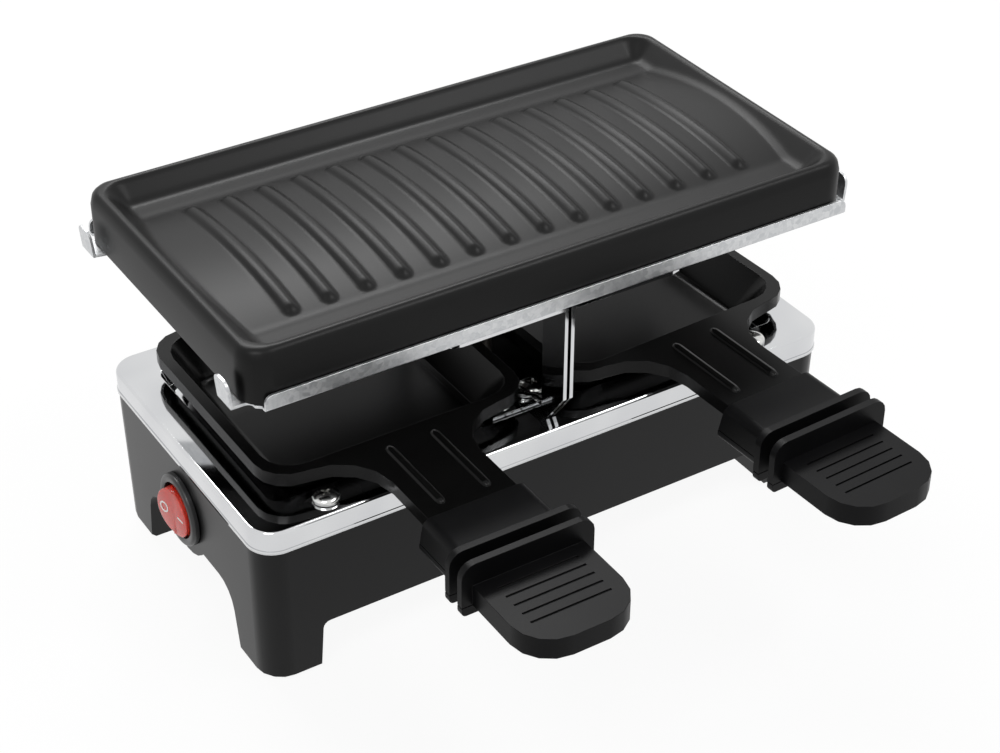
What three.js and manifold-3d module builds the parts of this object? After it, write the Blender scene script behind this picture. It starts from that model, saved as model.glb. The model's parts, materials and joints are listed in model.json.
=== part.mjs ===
// Raclette grill for two: a plastic base with a polished steel deck, two pans side by side in their
// bays, sheet-steel pillars that carry two rails, and a loose ribbed grill plate over a tubular
// heating element. Millimetres, +Z up, +X along the long side, -Y towards the pan handles.
import * as THREE from 'three';
import { mergeVertices } from 'three/addons/utils/BufferGeometryUtils.js';
import Module from 'manifold-3d';

const wasm = await Module();
wasm.setup();

const gap = 0.3; // seating and running clearance
const overrun = 1; // how far a cutter reaches past the face that it cuts
const weldDistance = 0.0001;
const quarterTurn = Math.PI / 2;

// Housing: moulded tub with four hollow feet
const housing = {
  height: 50.8, wall: 2.5, draft: 0.5, depthDraft: 1, ledge: 0.4, tubDepth: 27.4, floor: 2.1,
  frontArchDrop: 5.4, frontArchInset: 18.4, frontArchFlare: 1.3, sideArchDrop: 0.1, sideArchHalf: 33.1,
  sideArchFlare: 3.6, frontArchRound: 2.4, sideArchRound: 9.4, sole: 2.6, toeChamfer: 1.6, postRadius: 4.2,
  pilotRadius: 2.2, neckClear: 0.3,
};

// Pans: pressed steel with a flange, a turned-down lip and a neck for the handle
const pan = {
  width: 91.3, depth: 88, height: 15.2, cornerRadius: 11.2, lip: 4.5, sheet: 1, flange: 3,
  mouthRadius: 10.5, baseInset: 6.8, baseRadius: 8, baseRound: 3, baseEdge: 1, neckWidth: 30.2,
  neckFillet: 18.5, neckLength: 42, tongueWidth: 24, tongueLength: 15.4, tongueHole: 3.4,
  leftClear: 4.35, rightClear: 7.25, rightShift: 0.3, rightYawDegrees: 2.6, beadSpacing: 15.5,
  beadWidth: 3.2, beadHeight: 1.2, beadStart: 2.6, beadLength: 32,
};

// Deck: one polished stainless sheet, folded down outside and sunk inside
const deck = {
  sideMargin: 10, endMargin: 10.35, cornerRadius: 9, skirt: 8, sunk: 5.1, sheet: 0.8, edgeRound: 1,
  sideBand: 11.65, endBand: 13.65, slope: 2, recessRadius: 4, screwInset: 26.15, screwEndInset: 7.2,
};

// Grill plate: cast aluminium tray that lies loose on the rails
const plate = {
  width: 212.2, depth: 112.8, height: 17.3, draft: 0.1, cornerRadius: 8.5, rimRound: 3.3, rimDrop: 4.4,
  rim: 3.6, trayRadius: 9.2,
  gutterSlope: 6.7, gutterDepth: 6.3, archRise: 3.5, archHalf: 37, wall: 2.6, cast: 2.3, ribCount: 14,
  ribPitch: 12.35, ribWidth: 5.4, ribHeight: 1.5, ribLength: 70,
};

// Rails: L-section sheet under the plate's long sides, with a flared locating tab at each end
const rail = {
  sheet: 0.9, web: 14.9, flange: 5.1, webShort: 2.6, leftShort: 4.2, rightShort: 1.4, flangeRound: 2.5,
  foldRound: 0.7, plateClear: 0.35, tabClear: 2.6, tabWidth: 8.6, tabInset: 1.05, tabRise: 7.9, tabLean: 0.7,
  tabRound: 3, tabFillet: 1.8, notch: 2.6,
};

// Pillars: four bent sheets, back to back in pairs at the front and at the back
const pillar = {
  height: 51, sheet: 1.2, faceGap: 1.1, width: 12, topClear: 8.5, knee: 34.4, footReach: 13,
  footLength: 21.65, footTaper: 11.65, footWeb: 2.6, footInset: 4.4, toeInset: 6.6, shoulderInset: 2.9,
  shoulderRise: 3, bridge: 2.2, screwSide: 6.5, screwInset: 11.65,
};

// Rocker switch in the left wall; the rocker rests tilted to on
const toggle = {
  offCentre: 2, drop: 17.3, bezelRadius: 12.2, bezelThickness: 2.2, bezelRound: 0.9, barrelRadius: 10,
  barrelLength: 11, wellRadius: 9.3, wellDepth: 7.6, lipRound: 0.5, boss: 3.8, troughWall: 2,
  troughLength: 22, tiltDegrees: 7.5, bladeWidth: 4.8, bladeThickness: 0.8, bladeLength: 6.4,
  bladeSpacing: 5, bladeSeat: 2, lampRadius: 1.9, lampLength: 3.6,
};
const rocker = {
  radius: 8.4, dip: 4.2, flare: 0.75, backEdge: 0.8, backRidge: 2.4, pivotDepth: 3, pivotRadius: 1,
  markProud: 0.2, markSpread: 4.6, ringRadius: 2, strokeWidth: 0.5, barLength: 3.6,
};

// Handle: upper moulding with sleeve, two guards and grip, and a lower cover screwed to it
const handle = {
  sleeveWidth: 35, sleeveLength: 19.4, sleeveOverlap: 2, roof: 1.1, sleeveRound: 3, backLean: 2.8,
  seamDrop: 8.7, coverThickness: 3, guardWidth: 44.3, guardRise: 5.5, guardThickness: 2.4, guardRound: 4.6,
  guardToe: 1.6, slot: 4.2, coreWidth: 30, coreDrop: 0.5, gripWidth: 37.3, gripLength: 31.8, gripRadius: 12.6,
  gripDrop: 1.9, gripThickness: 7, grooveCount: 5, groovePitch: 4.15, grooveLength: 26.5,
  grooveWidth: 0.7, grooveDepth: 0.5, grooveStart: 4.7, postRadius: 3, postInset: 8, pilotRadius: 1.3,
  padWidth: 16, padLength: 10,
};
const coverScrew = { shank: 1.05, head: 2.6, headHeight: 1.6, length: 8, pilotSpare: 0.8 };

// Heating element and what holds it
const heater = {
  tubeRadius: 3.15, drop: 7.8, legOffset: 1, frontLeg: -6, backLeg: 10, legDepth: 18, sideInset: 27,
  edgeInset: 21.45, turnInset: 13, bend: 9, cornerBend: 11, bracketInset: 22, bracketWidth: 10,
  bracketSheet: 1, bracketLap: 3.2, bracketRamp: 2.5, hookWidth: 4, hookLip: 4, bushFlange: 4.6,
  bushBody: 3.9, bushProud: 1.7, bushDrop: 6.8, pinRadius: 1.3, pinLength: 7.8,
};

// Screws and rivets
const deckScrew = {
  head: 4.3, headHeight: 2.6, shank: 1.9, length: 14, slotDepth: 1.1, slotWidth: 1, slotLength: 4.2,
};
const rivet = { head: 2.6, headHeight: 1.1, shank: 1.5, tail: 0.9, endInset: 18.6 };

// Mains parts inside the tub
const mains = {
  glandFlange: 8, glandBody: 6, glandBore: 3.6, glandHead: 3, glandInset: 4, blockAside: 35.5,
  blockInset: 18.75, blockWidth: 24, blockLength: 14, blockHeight: 11, wayPitch: 8, wayRadius: 1.8,
  wayDepth: 4, blockScrew: 1.1, blockScrewHead: 2.2, postRadius: 3, pilotRadius: 1.4,
  leadRadius: 1.1, leadBend: 3.5, fuseRadius: 3, fuseLength: 14, fusePlace: -34, cradleLength: 7,
  cradleWall: 1.4, tagRadius: 3.6, tagBore: 2.2, tagThickness: 0.8, tagArm: 10, tagWidth: 4,
  liveDepth: -16, neutralTurn: 19, elbow: 15.3, earthTurn: 22,
};

const roundSides = 24;
const screwSides = 12;
const tubeSides = 8;
const leadSides = 6;
const cornerSteps = 4;
const bendSteps = 4;

// Turns closed three.js geometry into a solid for joining and cutting, and back
function solidOf(geometry) {
  const bare = geometry.clone();
  bare.deleteAttribute('normal');
  bare.deleteAttribute('uv');
  const merged = mergeVertices(bare, weldDistance);
  const vertProperties = new Float32Array(merged.attributes.position.array);
  const triVerts = new Uint32Array(merged.index.array);
  return new wasm.Manifold(new wasm.Mesh({ numProp: 3, vertProperties, triVerts }));
}

function geometryOf(solid) {
  const mesh = solid.getMesh();
  const geometry = new THREE.BufferGeometry();
  geometry.setAttribute('position', new THREE.BufferAttribute(new Float32Array(mesh.vertProperties), 3));
  geometry.setIndex(new THREE.BufferAttribute(new Uint32Array(mesh.triVerts), 1));
  geometry.computeVertexNormals();
  return geometry;
}

const join = (solids) => solids.reduce((sum, solid) => sum.add(solid));
const cut = (solid, cutters) => cutters.reduce((rest, cutter) => rest.subtract(cutter), solid);

function box(x0, x1, y0, y1, z0, z1) {
  const block = new THREE.BoxGeometry(Math.abs(x1 - x0), Math.abs(y1 - y0), Math.abs(z1 - z0));
  return solidOf(block.translate((x0 + x1) / 2, (y0 + y1) / 2, (z0 + z1) / 2));
}

function barX(radius, y, z, x0, x1, sides = roundSides) {
  const bar = new THREE.CylinderGeometry(radius, radius, Math.abs(x1 - x0), sides).rotateZ(quarterTurn);
  return solidOf(bar.translate((x0 + x1) / 2, y, z));
}

function barY(radius, x, z, y0, y1, sides = roundSides) {
  const bar = new THREE.CylinderGeometry(radius, radius, Math.abs(y1 - y0), sides);
  return solidOf(bar.translate(x, (y0 + y1) / 2, z));
}

function barZ(radius, x, y, z0, z1, sides = screwSides) {
  const bar = new THREE.CylinderGeometry(radius, radius, Math.abs(z1 - z0), sides).rotateX(quarterTurn);
  return solidOf(bar.translate(x, y, (z0 + z1) / 2));
}

const extrusion = (shape, depth) => new THREE.ExtrudeGeometry(
  shape, { depth, bevelEnabled: false, curveSegments: cornerSteps });

// The outline's (a, b) are (x, y), (y, z) and (x, z) of the part
const extrudeZ = (shape, z0, z1) => solidOf(
  extrusion(shape, Math.abs(z1 - z0)).translate(0, 0, Math.min(z0, z1)));
const extrudeX = (shape, x0, x1) => solidOf(extrusion(shape, Math.abs(x1 - x0))
  .rotateZ(quarterTurn).rotateY(quarterTurn).translate(Math.min(x0, x1), 0, 0));
const extrudeY = (shape, y0, y1) => solidOf(
  extrusion(shape, Math.abs(y1 - y0)).rotateX(quarterTurn).translate(0, Math.max(y0, y1), 0));

const latheZ = (profile, sides = screwSides) => solidOf(
  new THREE.LatheGeometry(profile.map(([r, h]) => new THREE.Vector2(r, h)), sides).rotateX(quarterTurn));

// An outline through corners [a, b, radius], each rounded by its radius where it has one
function outline(corners) {
  const shape = new THREE.Shape();
  const at = (index) => {
    const [a, b] = corners[(index + corners.length) % corners.length];
    return new THREE.Vector2(a, b);
  };
  corners.forEach(([a, b, radius = 0], index) => {
    const before = at(index - 1).sub(at(index)).normalize();
    const after = at(index + 1).sub(at(index)).normalize();
    const halfAngle = Math.acos(THREE.MathUtils.clamp(before.dot(after), -1, 1)) / 2;
    const run = radius / Math.tan(halfAngle);
    const entry = at(index).add(before.multiplyScalar(run));
    const exit = at(index).add(after.multiplyScalar(run));
    if (index === 0) shape.moveTo(entry.x, entry.y);
    else shape.lineTo(entry.x, entry.y);
    if (radius > 0) {
      const pull = 4 / 3 * Math.tan((quarterTurn - halfAngle) / 2) * radius / run;
      const control = [entry.clone().lerp(at(index), pull), exit.clone().lerp(at(index), pull)];
      shape.bezierCurveTo(control[0].x, control[0].y, control[1].x, control[1].y, exit.x, exit.y);
    }
  });
  shape.closePath();
  return shape;
}

// The outline of a sheet of one thickness whose one face follows the line
function sheetOutline(line, thickness) {
  const points = line.map(([a, b]) => new THREE.Vector2(a, b));
  const heading = (index) => points[index + 1].clone().sub(points[index]).normalize();
  const far = points.map((point, index) => {
    const inward = heading(Math.max(index - 1, 0));
    const outward = heading(Math.min(index, points.length - 2));
    const along = inward.clone().add(outward).normalize();
    const reach = thickness / along.dot(inward);
    return point.clone().add(new THREE.Vector2(-along.y, along.x).multiplyScalar(reach));
  });
  return new THREE.Shape([...points, ...far.reverse()]);
}

// A level rounded rectangle with the same point count at every size
function ring(z, halfX, halfY, radius) {
  const corners = [[1, -1], [1, 1], [-1, 1], [-1, -1]];
  const steps = Array.from({ length: cornerSteps + 1 }, (_, step) => step);
  return corners.flatMap(([sideX, sideY], corner) => steps.map((step) => {
    const angle = (corner - 1 + step / cornerSteps) * quarterTurn;
    const x = sideX * (halfX - radius) + radius * Math.cos(angle);
    const y = sideY * (halfY - radius) + radius * Math.sin(angle);
    return new THREE.Vector3(x, y, z);
  }));
}

// A closed body through rings of the same point count, capped at both ends
function loft(rings) {
  const count = rings[0].length;
  const last = (rings.length - 1) * count;
  const total = (points) => points.reduce((sum, point) => sum.add(point), new THREE.Vector3());
  const middle = (points) => total(points).divideScalar(count);
  const points = [...rings.flat(), middle(rings[0]), middle(rings[rings.length - 1])];
  const faces = [];
  for (let side = 0; side < count; side += 1) {
    const next = (side + 1) % count;
    for (let base = 0; base < last; base += count) {
      faces.push(base + side, base + next, base + count + next);
      faces.push(base + side, base + count + next, base + count + side);
    }
    faces.push(points.length - 2, next, side, points.length - 1, last + side, last + next);
  }
  return solidOf(new THREE.BufferGeometry().setFromPoints(points).setIndex(faces));
}

// A raised rounded ridge along Y on a surface of the given height
function ridge(x, y0, y1, width, height, surface, root) {
  const stationShares = [0, 0.02, 0.07, 0.5, 0.93, 0.98, 1];
  const swellShares = [0.35, 0.75, 1, 1, 1, 0.75, 0.35];
  const crownCount = 5;
  return loft(stationShares.map((share, station) => {
    const y = y0 + (y1 - y0) * share;
    const half = width / 2 * swellShares[station];
    const rise = height * swellShares[station];
    const base = surface(y);
    const crown = Array.from({ length: crownCount }, (_, step) => {
      const angle = Math.PI * (1 - step / (crownCount - 1));
      return new THREE.Vector3(x + half * Math.cos(angle), y, base + rise * Math.sin(angle));
    });
    const roots = [half, -half].map((side) => new THREE.Vector3(x + side, y, base - root));
    return [...roots, ...crown];
  }));
}

// A path of straight runs joined by quarter-circle bends, sampled only where it bends
class QuarterArc extends THREE.Curve {
  constructor(centre, from, to) {
    super();
    this.centre = centre;
    this.from = from.clone().sub(centre);
    this.to = to.clone().sub(centre);
  }

  mix(a, b) {
    return this.from.clone().multiplyScalar(a).addScaledVector(this.to, b);
  }

  getPoint(t) {
    return this.mix(Math.cos(t * quarterTurn), Math.sin(t * quarterTurn)).add(this.centre);
  }

  getTangent(t) {
    return this.mix(-Math.sin(t * quarterTurn), Math.cos(t * quarterTurn)).normalize();
  }
}

class BentPath extends THREE.Curve {
  constructor(corners, bend) {
    super();
    const points = corners.map((corner) => new THREE.Vector3(...corner));
    const heading = (index) => points[index + 1].clone().sub(points[index]).normalize();
    this.runs = [];
    let start = points[0];
    for (let index = 1; index < points.length - 1; index += 1) {
      const radius = corners[index][3] ?? bend;
      const entry = points[index].clone().addScaledVector(heading(index - 1), -radius);
      const exit = points[index].clone().addScaledVector(heading(index), radius);
      const centre = entry.clone().addScaledVector(heading(index), radius);
      if (start.distanceTo(entry) > weldDistance) this.runs.push([new THREE.LineCurve3(start, entry), 1]);
      this.runs.push([new QuarterArc(centre, entry, exit), bendSteps]);
      start = exit;
    }
    this.runs.push([new THREE.LineCurve3(start, points[points.length - 1]), 1]);
    this.steps = this.runs.reduce((sum, [, steps]) => sum + steps, 0);
  }

  locate(t) {
    let place = t * this.steps;
    for (const [curve, steps] of this.runs) {
      if (place <= steps + weldDistance) return [curve, Math.min(place / steps, 1)];
      place -= steps;
    }
    return [this.runs[this.runs.length - 1][0], 1];
  }

  getPoint(t) {
    const [curve, share] = this.locate(t);
    return curve.getPoint(share);
  }

  getPointAt(u) {
    return this.getPoint(u);
  }

  getTangentAt(u) {
    const [curve, share] = this.locate(u);
    return curve.getTangent(share);
  }
}

function tube(corners, bend, radius, sides) {
  const path = new BentPath(corners, bend);
  const section = new THREE.Shape(Array.from({ length: sides }, (_, side) => new THREE.Vector2(
    radius * Math.cos(side / sides * 2 * Math.PI), radius * Math.sin(side / sides * 2 * Math.PI))));
  return solidOf(new THREE.ExtrudeGeometry(
    section, { steps: path.steps, bevelEnabled: false, extrudePath: path }));
}

// Levels, from the ground up
const deckBottom = housing.height + gap;
const deckTop = deckBottom + deck.skirt;
const deckFloor = deckTop - deck.sunk;
const deckUnder = deckFloor - deck.sheet;
const bandUnder = deckTop - deck.sheet;
const tubBase = housing.height - housing.tubDepth;
const tubFloor = tubBase + housing.floor;
const toggleHeight = housing.height - toggle.drop;
const postTop = deckUnder - gap;
const sidePostTop = bandUnder - gap;
const footSeat = deckFloor + gap;
const panBase = deckFloor + gap;
const panRim = panBase + pan.height;
const pillarTop = footSeat + pillar.height;
const webBottom = pillarTop + gap;
const webTop = webBottom + rail.sheet;
const plateBottom = webTop + gap;
const plateTop = plateBottom + plate.height;
const heaterHeight = pillarTop - heater.drop;

// Half sizes and places in plan
const deckHalfX = pan.leftClear + pan.width + deck.sideMargin;
const deckHalfY = pan.depth / 2 + deck.endMargin;
const bandHalfX = deckHalfX - deck.sideBand;
const bandHalfY = deckHalfY - deck.endBand;
const toeHalfX = bandHalfX - deck.slope;
const toeHalfY = bandHalfY - deck.slope;
const wallHalfX = deckHalfX - housing.ledge;
const wallHalfY = deckHalfY - housing.ledge;
const neckHalfX = deckHalfX - deck.sheet - housing.neckClear;
const neckHalfY = deckHalfY - deck.sheet - housing.neckClear;
const neckRadius = deck.cornerRadius - deck.sheet - housing.neckClear;
const tubHalfX = neckHalfX - housing.wall;
const tubHalfY = neckHalfY - housing.wall;
const plateHalfX = plate.width / 2;
const plateHalfY = plate.depth / 2;
const heaterHalfX = plateHalfX - heater.sideInset;
const heaterHalfY = plateHalfY - heater.edgeInset;
const bracketX = heaterHalfX - heater.bracketInset;
const pillarReach = bracketX - heater.bracketWidth / 2 - pillar.topClear;
const rivetX = pillarReach - rivet.endInset;
const railFace = plateHalfY + plate.draft + rail.plateClear;
const pillarOuter = railFace;
const pillarInner = pillarOuter - pillar.width;
const pillarFace = pillar.faceGap / 2;
const screwX = deckHalfX - deck.screwInset;
const blockX = screwX - mains.blockAside;
const screwY = deckHalfY - deck.screwEndInset;
const footY = toeHalfY - pillar.screwInset;
const rivetY = (pillarOuter + pillarInner) / 2;
const leftPanX = -(pan.width / 2 + pan.leftClear);
const rightPanX = pan.width / 2 + pan.rightClear;
const rightPanYaw = THREE.MathUtils.degToRad(pan.rightYawDegrees);
const sides = [['left', -1], ['right', 1]];
const ends = [['front', -1], ['back', 1]];
const quarters = ends.flatMap(([endName, endY]) => sides.map(([sideName, sideX]) => (
  { label: `${endName}_${sideName}`, sideX, endY })));

const grill = new THREE.Group();
const model = new THREE.Group();
grill.add(model);

const finishes = {
  blackPlastic: [0x2c2c2d, 0.5, 0], blackGrip: [0x252526, 0.6, 0], nonStick: [0x232324, 0.4, 0.2],
  mirrorSteel: [0xe2e3e4, 0.08, 1], zincSteel: [0xb9bbbd, 0.4, 1], screwSteel: [0xd6d7d8, 0.2, 1],
  ceramic: [0xe9e3d6, 0.6, 0], elementSteel: [0x5e6163, 0.45, 1], redLens: [0xd9271c, 0.25, 0],
  bezelPlastic: [0x38393b, 0.5, 0], liveJacket: [0x6b3a24, 0.6, 0], neutralJacket: [0x2f5fa8, 0.6, 0],
  earthJacket: [0x8fa63a, 0.6, 0], brass: [0xb99a52, 0.35, 1], palePlastic: [0xe2dfd4, 0.5, 0],
  lampGlass: [0xe9b48a, 0.15, 0],
};

function addPart(parent, name, solid, finish, place = [0, 0, 0], turn = [0, 0, 0]) {
  const [color, roughness, metalness] = finishes[finish];
  const material = new THREE.MeshStandardMaterial({ color, roughness, metalness });
  const mesh = new THREE.Mesh(geometryOf(solid), material);
  mesh.name = name;
  mesh.position.set(...place);
  mesh.rotation.set(...turn);
  parent.add(mesh);
}

// Housing
const toggleBoss = toggle.bezelRadius + toggle.boss;
const wayHeight = toggleHeight;
const blockY = tubHalfY - mains.blockInset;
const blockSeat = wayHeight - mains.blockHeight / 2;

function makeHousing() {
  const toeX = wallHalfX - housing.draft;
  const toeY = wallHalfY - housing.depthDraft;
  const toe = housing.toeChamfer;
  const outer = loft([
    ring(0, toeX - toe, toeY - toe, deck.cornerRadius - toe), ring(toe, toeX, toeY, deck.cornerRadius),
    ring(housing.height, wallHalfX, wallHalfY, deck.cornerRadius),
  ]);
  const neck = loft([
    ring(housing.height - overrun, neckHalfX, neckHalfY, neckRadius),
    ring(sidePostTop, neckHalfX, neckHalfY, neckRadius),
  ]);
  const innerRadius = neckRadius - housing.wall;
  const inner = (z0, z1) => loft([
    ring(z0, tubHalfX, tubHalfY, innerRadius), ring(z1, tubHalfX, tubHalfY, innerRadius),
  ]);
  const farX = deckHalfX + overrun;
  const farY = deckHalfY + overrun;
  const archOutline = (foot, flare, top, round) => outline([
    [-foot, 0], [-foot, -overrun], [foot, -overrun], [foot, 0],
    [foot - flare, top, round], [flare - foot, top, round],
  ]);
  const frontFoot = wallHalfX - housing.frontArchInset;
  const frontArch = (grow) => extrudeY(archOutline(
    frontFoot + grow, housing.frontArchFlare, tubBase - housing.frontArchDrop + grow, housing.frontArchRound,
  ), -farY, farY);
  const sideArch = (grow) => extrudeX(archOutline(
    housing.sideArchHalf + grow, housing.sideArchFlare, tubBase - housing.sideArchDrop + grow,
    housing.sideArchRound,
  ), -farX, farX);
  const footZones = (grow) => join(quarters.map(({ sideX, endY }) => box(
    sideX * (frontFoot - housing.frontArchFlare + grow), sideX * farX,
    endY * (housing.sideArchHalf - housing.sideArchFlare + grow), endY * farY,
    -overrun, tubFloor + overrun)));
  const bossX = (radius, x0, x1) => barX(radius, toggle.offCentre, toggleHeight, x0, x1);
  const walls = cut(outer.add(neck), [
    inner(tubFloor, sidePostTop + overrun), frontArch(0),
    sideArch(0).subtract(bossX(toggleBoss, -farX, -tubHalfX)),
    inner(-overrun, tubBase).subtract(footZones(0)),
  ]);
  const troughEnd = toggle.troughLength - tubHalfX;
  const trough = bossX(toggleBoss, -tubHalfX - overrun, troughEnd)
    .intersect(box(-farX, troughEnd, -farY, farY, 0, tubFloor));
  const blockTop = blockSeat - gap;
  const cradleHalf = mains.fuseRadius + gap + mains.cradleWall;
  const cradle = box(
    mains.fusePlace - mains.cradleLength / 2, mains.fusePlace + mains.cradleLength / 2,
    toggle.offCentre - cradleHalf, toggle.offCentre + cradleHalf, tubBase, toggleHeight);
  const postPlaces = quarters.flatMap(({ sideX, endY }) => {
    const top = sideX > 0 && endY > 0 ? sidePostTop - mains.tagThickness - gap : sidePostTop;
    return [[sideX * screwX, endY * screwY, top], [sideX * pillar.screwSide, endY * footY, postTop]];
  });
  const body = join([
    walls, trough, cradle,
    ...postPlaces.map(([x, y, top]) => barZ(housing.postRadius, x, y, tubBase, top)),
    barZ(mains.postRadius, blockX, blockY, tubBase, blockTop),
  ]);
  const pockets = inner(housing.sole, tubFloor + overrun).intersect(footZones(housing.wall))
    .subtract(frontArch(housing.wall)).subtract(sideArch(housing.wall));
  return cut(body, [
    pockets,
    bossX(toggleBoss - toggle.troughWall, -tubHalfX, troughEnd - toggle.troughWall),
    bossX(toggle.barrelRadius + gap, -farX, -tubHalfX + overrun),
    barY(mains.glandBody + gap, blockX, wayHeight, tubHalfY - overrun, farY),
    barX(mains.fuseRadius + gap, toggle.offCentre, toggleHeight,
      mains.fusePlace - mains.cradleLength, mains.fusePlace + mains.cradleLength),
    ...postPlaces.map(([x, y, top]) => barZ(
      housing.pilotRadius, x, y, top - deckScrew.length, top + overrun)),
    barZ(mains.pilotRadius, blockX, blockY, tubFloor, blockTop + overrun),
  ]);
}
addPart(model, 'housing', makeHousing(), 'blackPlastic');

// Deck
const legPlaces = [['front', heater.frontLeg], ['back', heater.backLeg]];

function makeDeck() {
  const round = deck.edgeRound;
  const softShare = 0.3;
  const shell = loft([
    ring(deckBottom, deckHalfX, deckHalfY, deck.cornerRadius),
    ring(deckTop - round, deckHalfX, deckHalfY, deck.cornerRadius),
    ring(deckTop - round * softShare, deckHalfX - round * softShare, deckHalfY - round * softShare,
      deck.cornerRadius - round * softShare),
    ring(deckTop, deckHalfX - round, deckHalfY - round, deck.cornerRadius - round),
  ]);
  const spreadPerRise = deck.slope / deck.sunk;
  const slantSheet = deck.sheet * (Math.hypot(1, spreadPerRise) - spreadPerRise);
  const hollow = (grow, bottom, top) => {
    const spread = (top - bottom) * spreadPerRise;
    const radius = deck.recessRadius - deck.slope / 2 + grow;
    return loft([
      ring(bottom, toeHalfX + grow, toeHalfY + grow, radius),
      ring(top, toeHalfX + grow + spread, toeHalfY + grow + spread, radius + spread / 2),
    ]);
  };
  const innerX = deckHalfX - deck.sheet;
  const innerY = deckHalfY - deck.sheet;
  const innerRadius = deck.cornerRadius - deck.sheet;
  const under = loft([
    ring(deckBottom - overrun, innerX, innerY, innerRadius),
    ring(bandUnder, innerX, innerY, innerRadius),
  ]).subtract(hollow(slantSheet, deckUnder, deckTop + overrun));
  const holes = [
    ...quarters.flatMap(({ sideX, endY }) => [
      [sideX * screwX, endY * screwY, deckScrew.shank, bandUnder, deckTop],
      [sideX * pillar.screwSide, endY * footY, deckScrew.shank, deckUnder, deckFloor],
    ]),
    ...legPlaces.map(([, y]) => [heater.legOffset, y, heater.bushBody, deckUnder, deckFloor]),
  ];
  return cut(shell, [
    hollow(0, deckFloor, deckTop + overrun), under,
    ...holes.map(([x, y, radius, bottom, top]) => barZ(radius + gap, x, y, bottom - overrun, top + overrun)),
  ]);
}
addPart(model, 'deck_plate', makeDeck(), 'mirrorSteel');

// Cross-head deck and pillar screws, seated at the height of their heads' undersides
function makeDeckScrew() {
  const { head, headHeight, shank, length, slotDepth, slotWidth, slotLength } = deckScrew;
  const domeShares = [[1, 0.35], [0.9, 0.68], [0.6, 0.92]];
  const body = latheZ([
    [0, -length], [shank / 2, -length], [shank, shank - length], [shank, 0], [head, 0],
    ...domeShares.map(([r, h]) => [r * head, h * headHeight]), [0, headHeight],
  ]);
  const slot = (wide, deep) => box(
    -wide / 2, wide / 2, -deep / 2, deep / 2, headHeight - slotDepth, headHeight + overrun);
  return cut(body, [slot(slotLength, slotWidth), slot(slotWidth, slotLength)]);
}
const deckScrewSolid = makeDeckScrew();
quarters.forEach(({ label, sideX, endY }) => {
  addPart(model, `deck_screw_${label}`, deckScrewSolid, 'screwSteel',
    [sideX * screwX, endY * screwY, deckTop + gap]);
  addPart(model, `pillar_screw_${label}`, deckScrewSolid, 'screwSteel',
    [sideX * pillar.screwSide, endY * footY, footSeat + pillar.sheet + gap]);
});

// Pillar sheets: web, top flange under the rail and foot flange on the deck
function makePillar(sideX) {
  const edgeY = deckHalfY - pillar.toeInset;
  const overDeck = deckTop + gap;
  const shoulderTop = overDeck + pillar.shoulderRise;
  const footBack = toeHalfY - pillar.footLength;
  const taperY = toeHalfY - pillar.footTaper;
  const kneeTop = footSeat + pillar.knee / 2;
  const web = extrudeX(outline([
    [-pillarOuter, pillarTop], [-pillarOuter, kneeTop], [-edgeY, overDeck],
    [gap - bandHalfY, overDeck], [gap - toeHalfY, footSeat], [-footBack, footSeat],
    [-footBack, footSeat + pillar.footWeb], [-taperY, footSeat + pillar.footWeb],
    [pillar.bridge - bandHalfY, shoulderTop], [pillar.shoulderInset - edgeY, shoulderTop],
    [-pillarInner, kneeTop], [-pillarInner, pillarTop],
  ]), sideX * pillarFace, sideX * (pillarFace + pillar.sheet));
  const flange = box(sideX * pillarFace, sideX * (pillarReach - pillar.width / 2),
    -pillarOuter, -pillarInner, pillarTop - pillar.sheet, pillarTop);
  const flangeEnd = barZ(pillar.width / 2, sideX * (pillarReach - pillar.width / 2), -rivetY,
    pillarTop - pillar.sheet, pillarTop);
  const foot = box(sideX * pillarFace, sideX * pillar.footReach, pillar.footInset - toeHalfY, -footBack,
    footSeat, footSeat + pillar.sheet);
  const hole = (radius, x, y, base) => barZ(
    radius + gap, sideX * x, -y, base - overrun, base + pillar.sheet + overrun);
  return cut(join([web, flange, flangeEnd, foot]), [
    hole(deckScrew.shank, pillar.screwSide, footY, footSeat),
    hole(rivet.shank, rivetX, rivetY, pillarTop - pillar.sheet),
  ]);
}
sides.forEach(([sideName, sideX]) => {
  const otherName = sideX > 0 ? 'left' : 'right';
  const solid = makePillar(sideX);
  addPart(model, `pillar_front_${sideName}`, solid, 'mirrorSteel');
  addPart(model, `pillar_back_${otherName}`, solid, 'mirrorSteel', [0, 0, 0], [0, 0, Math.PI]);
});

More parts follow.
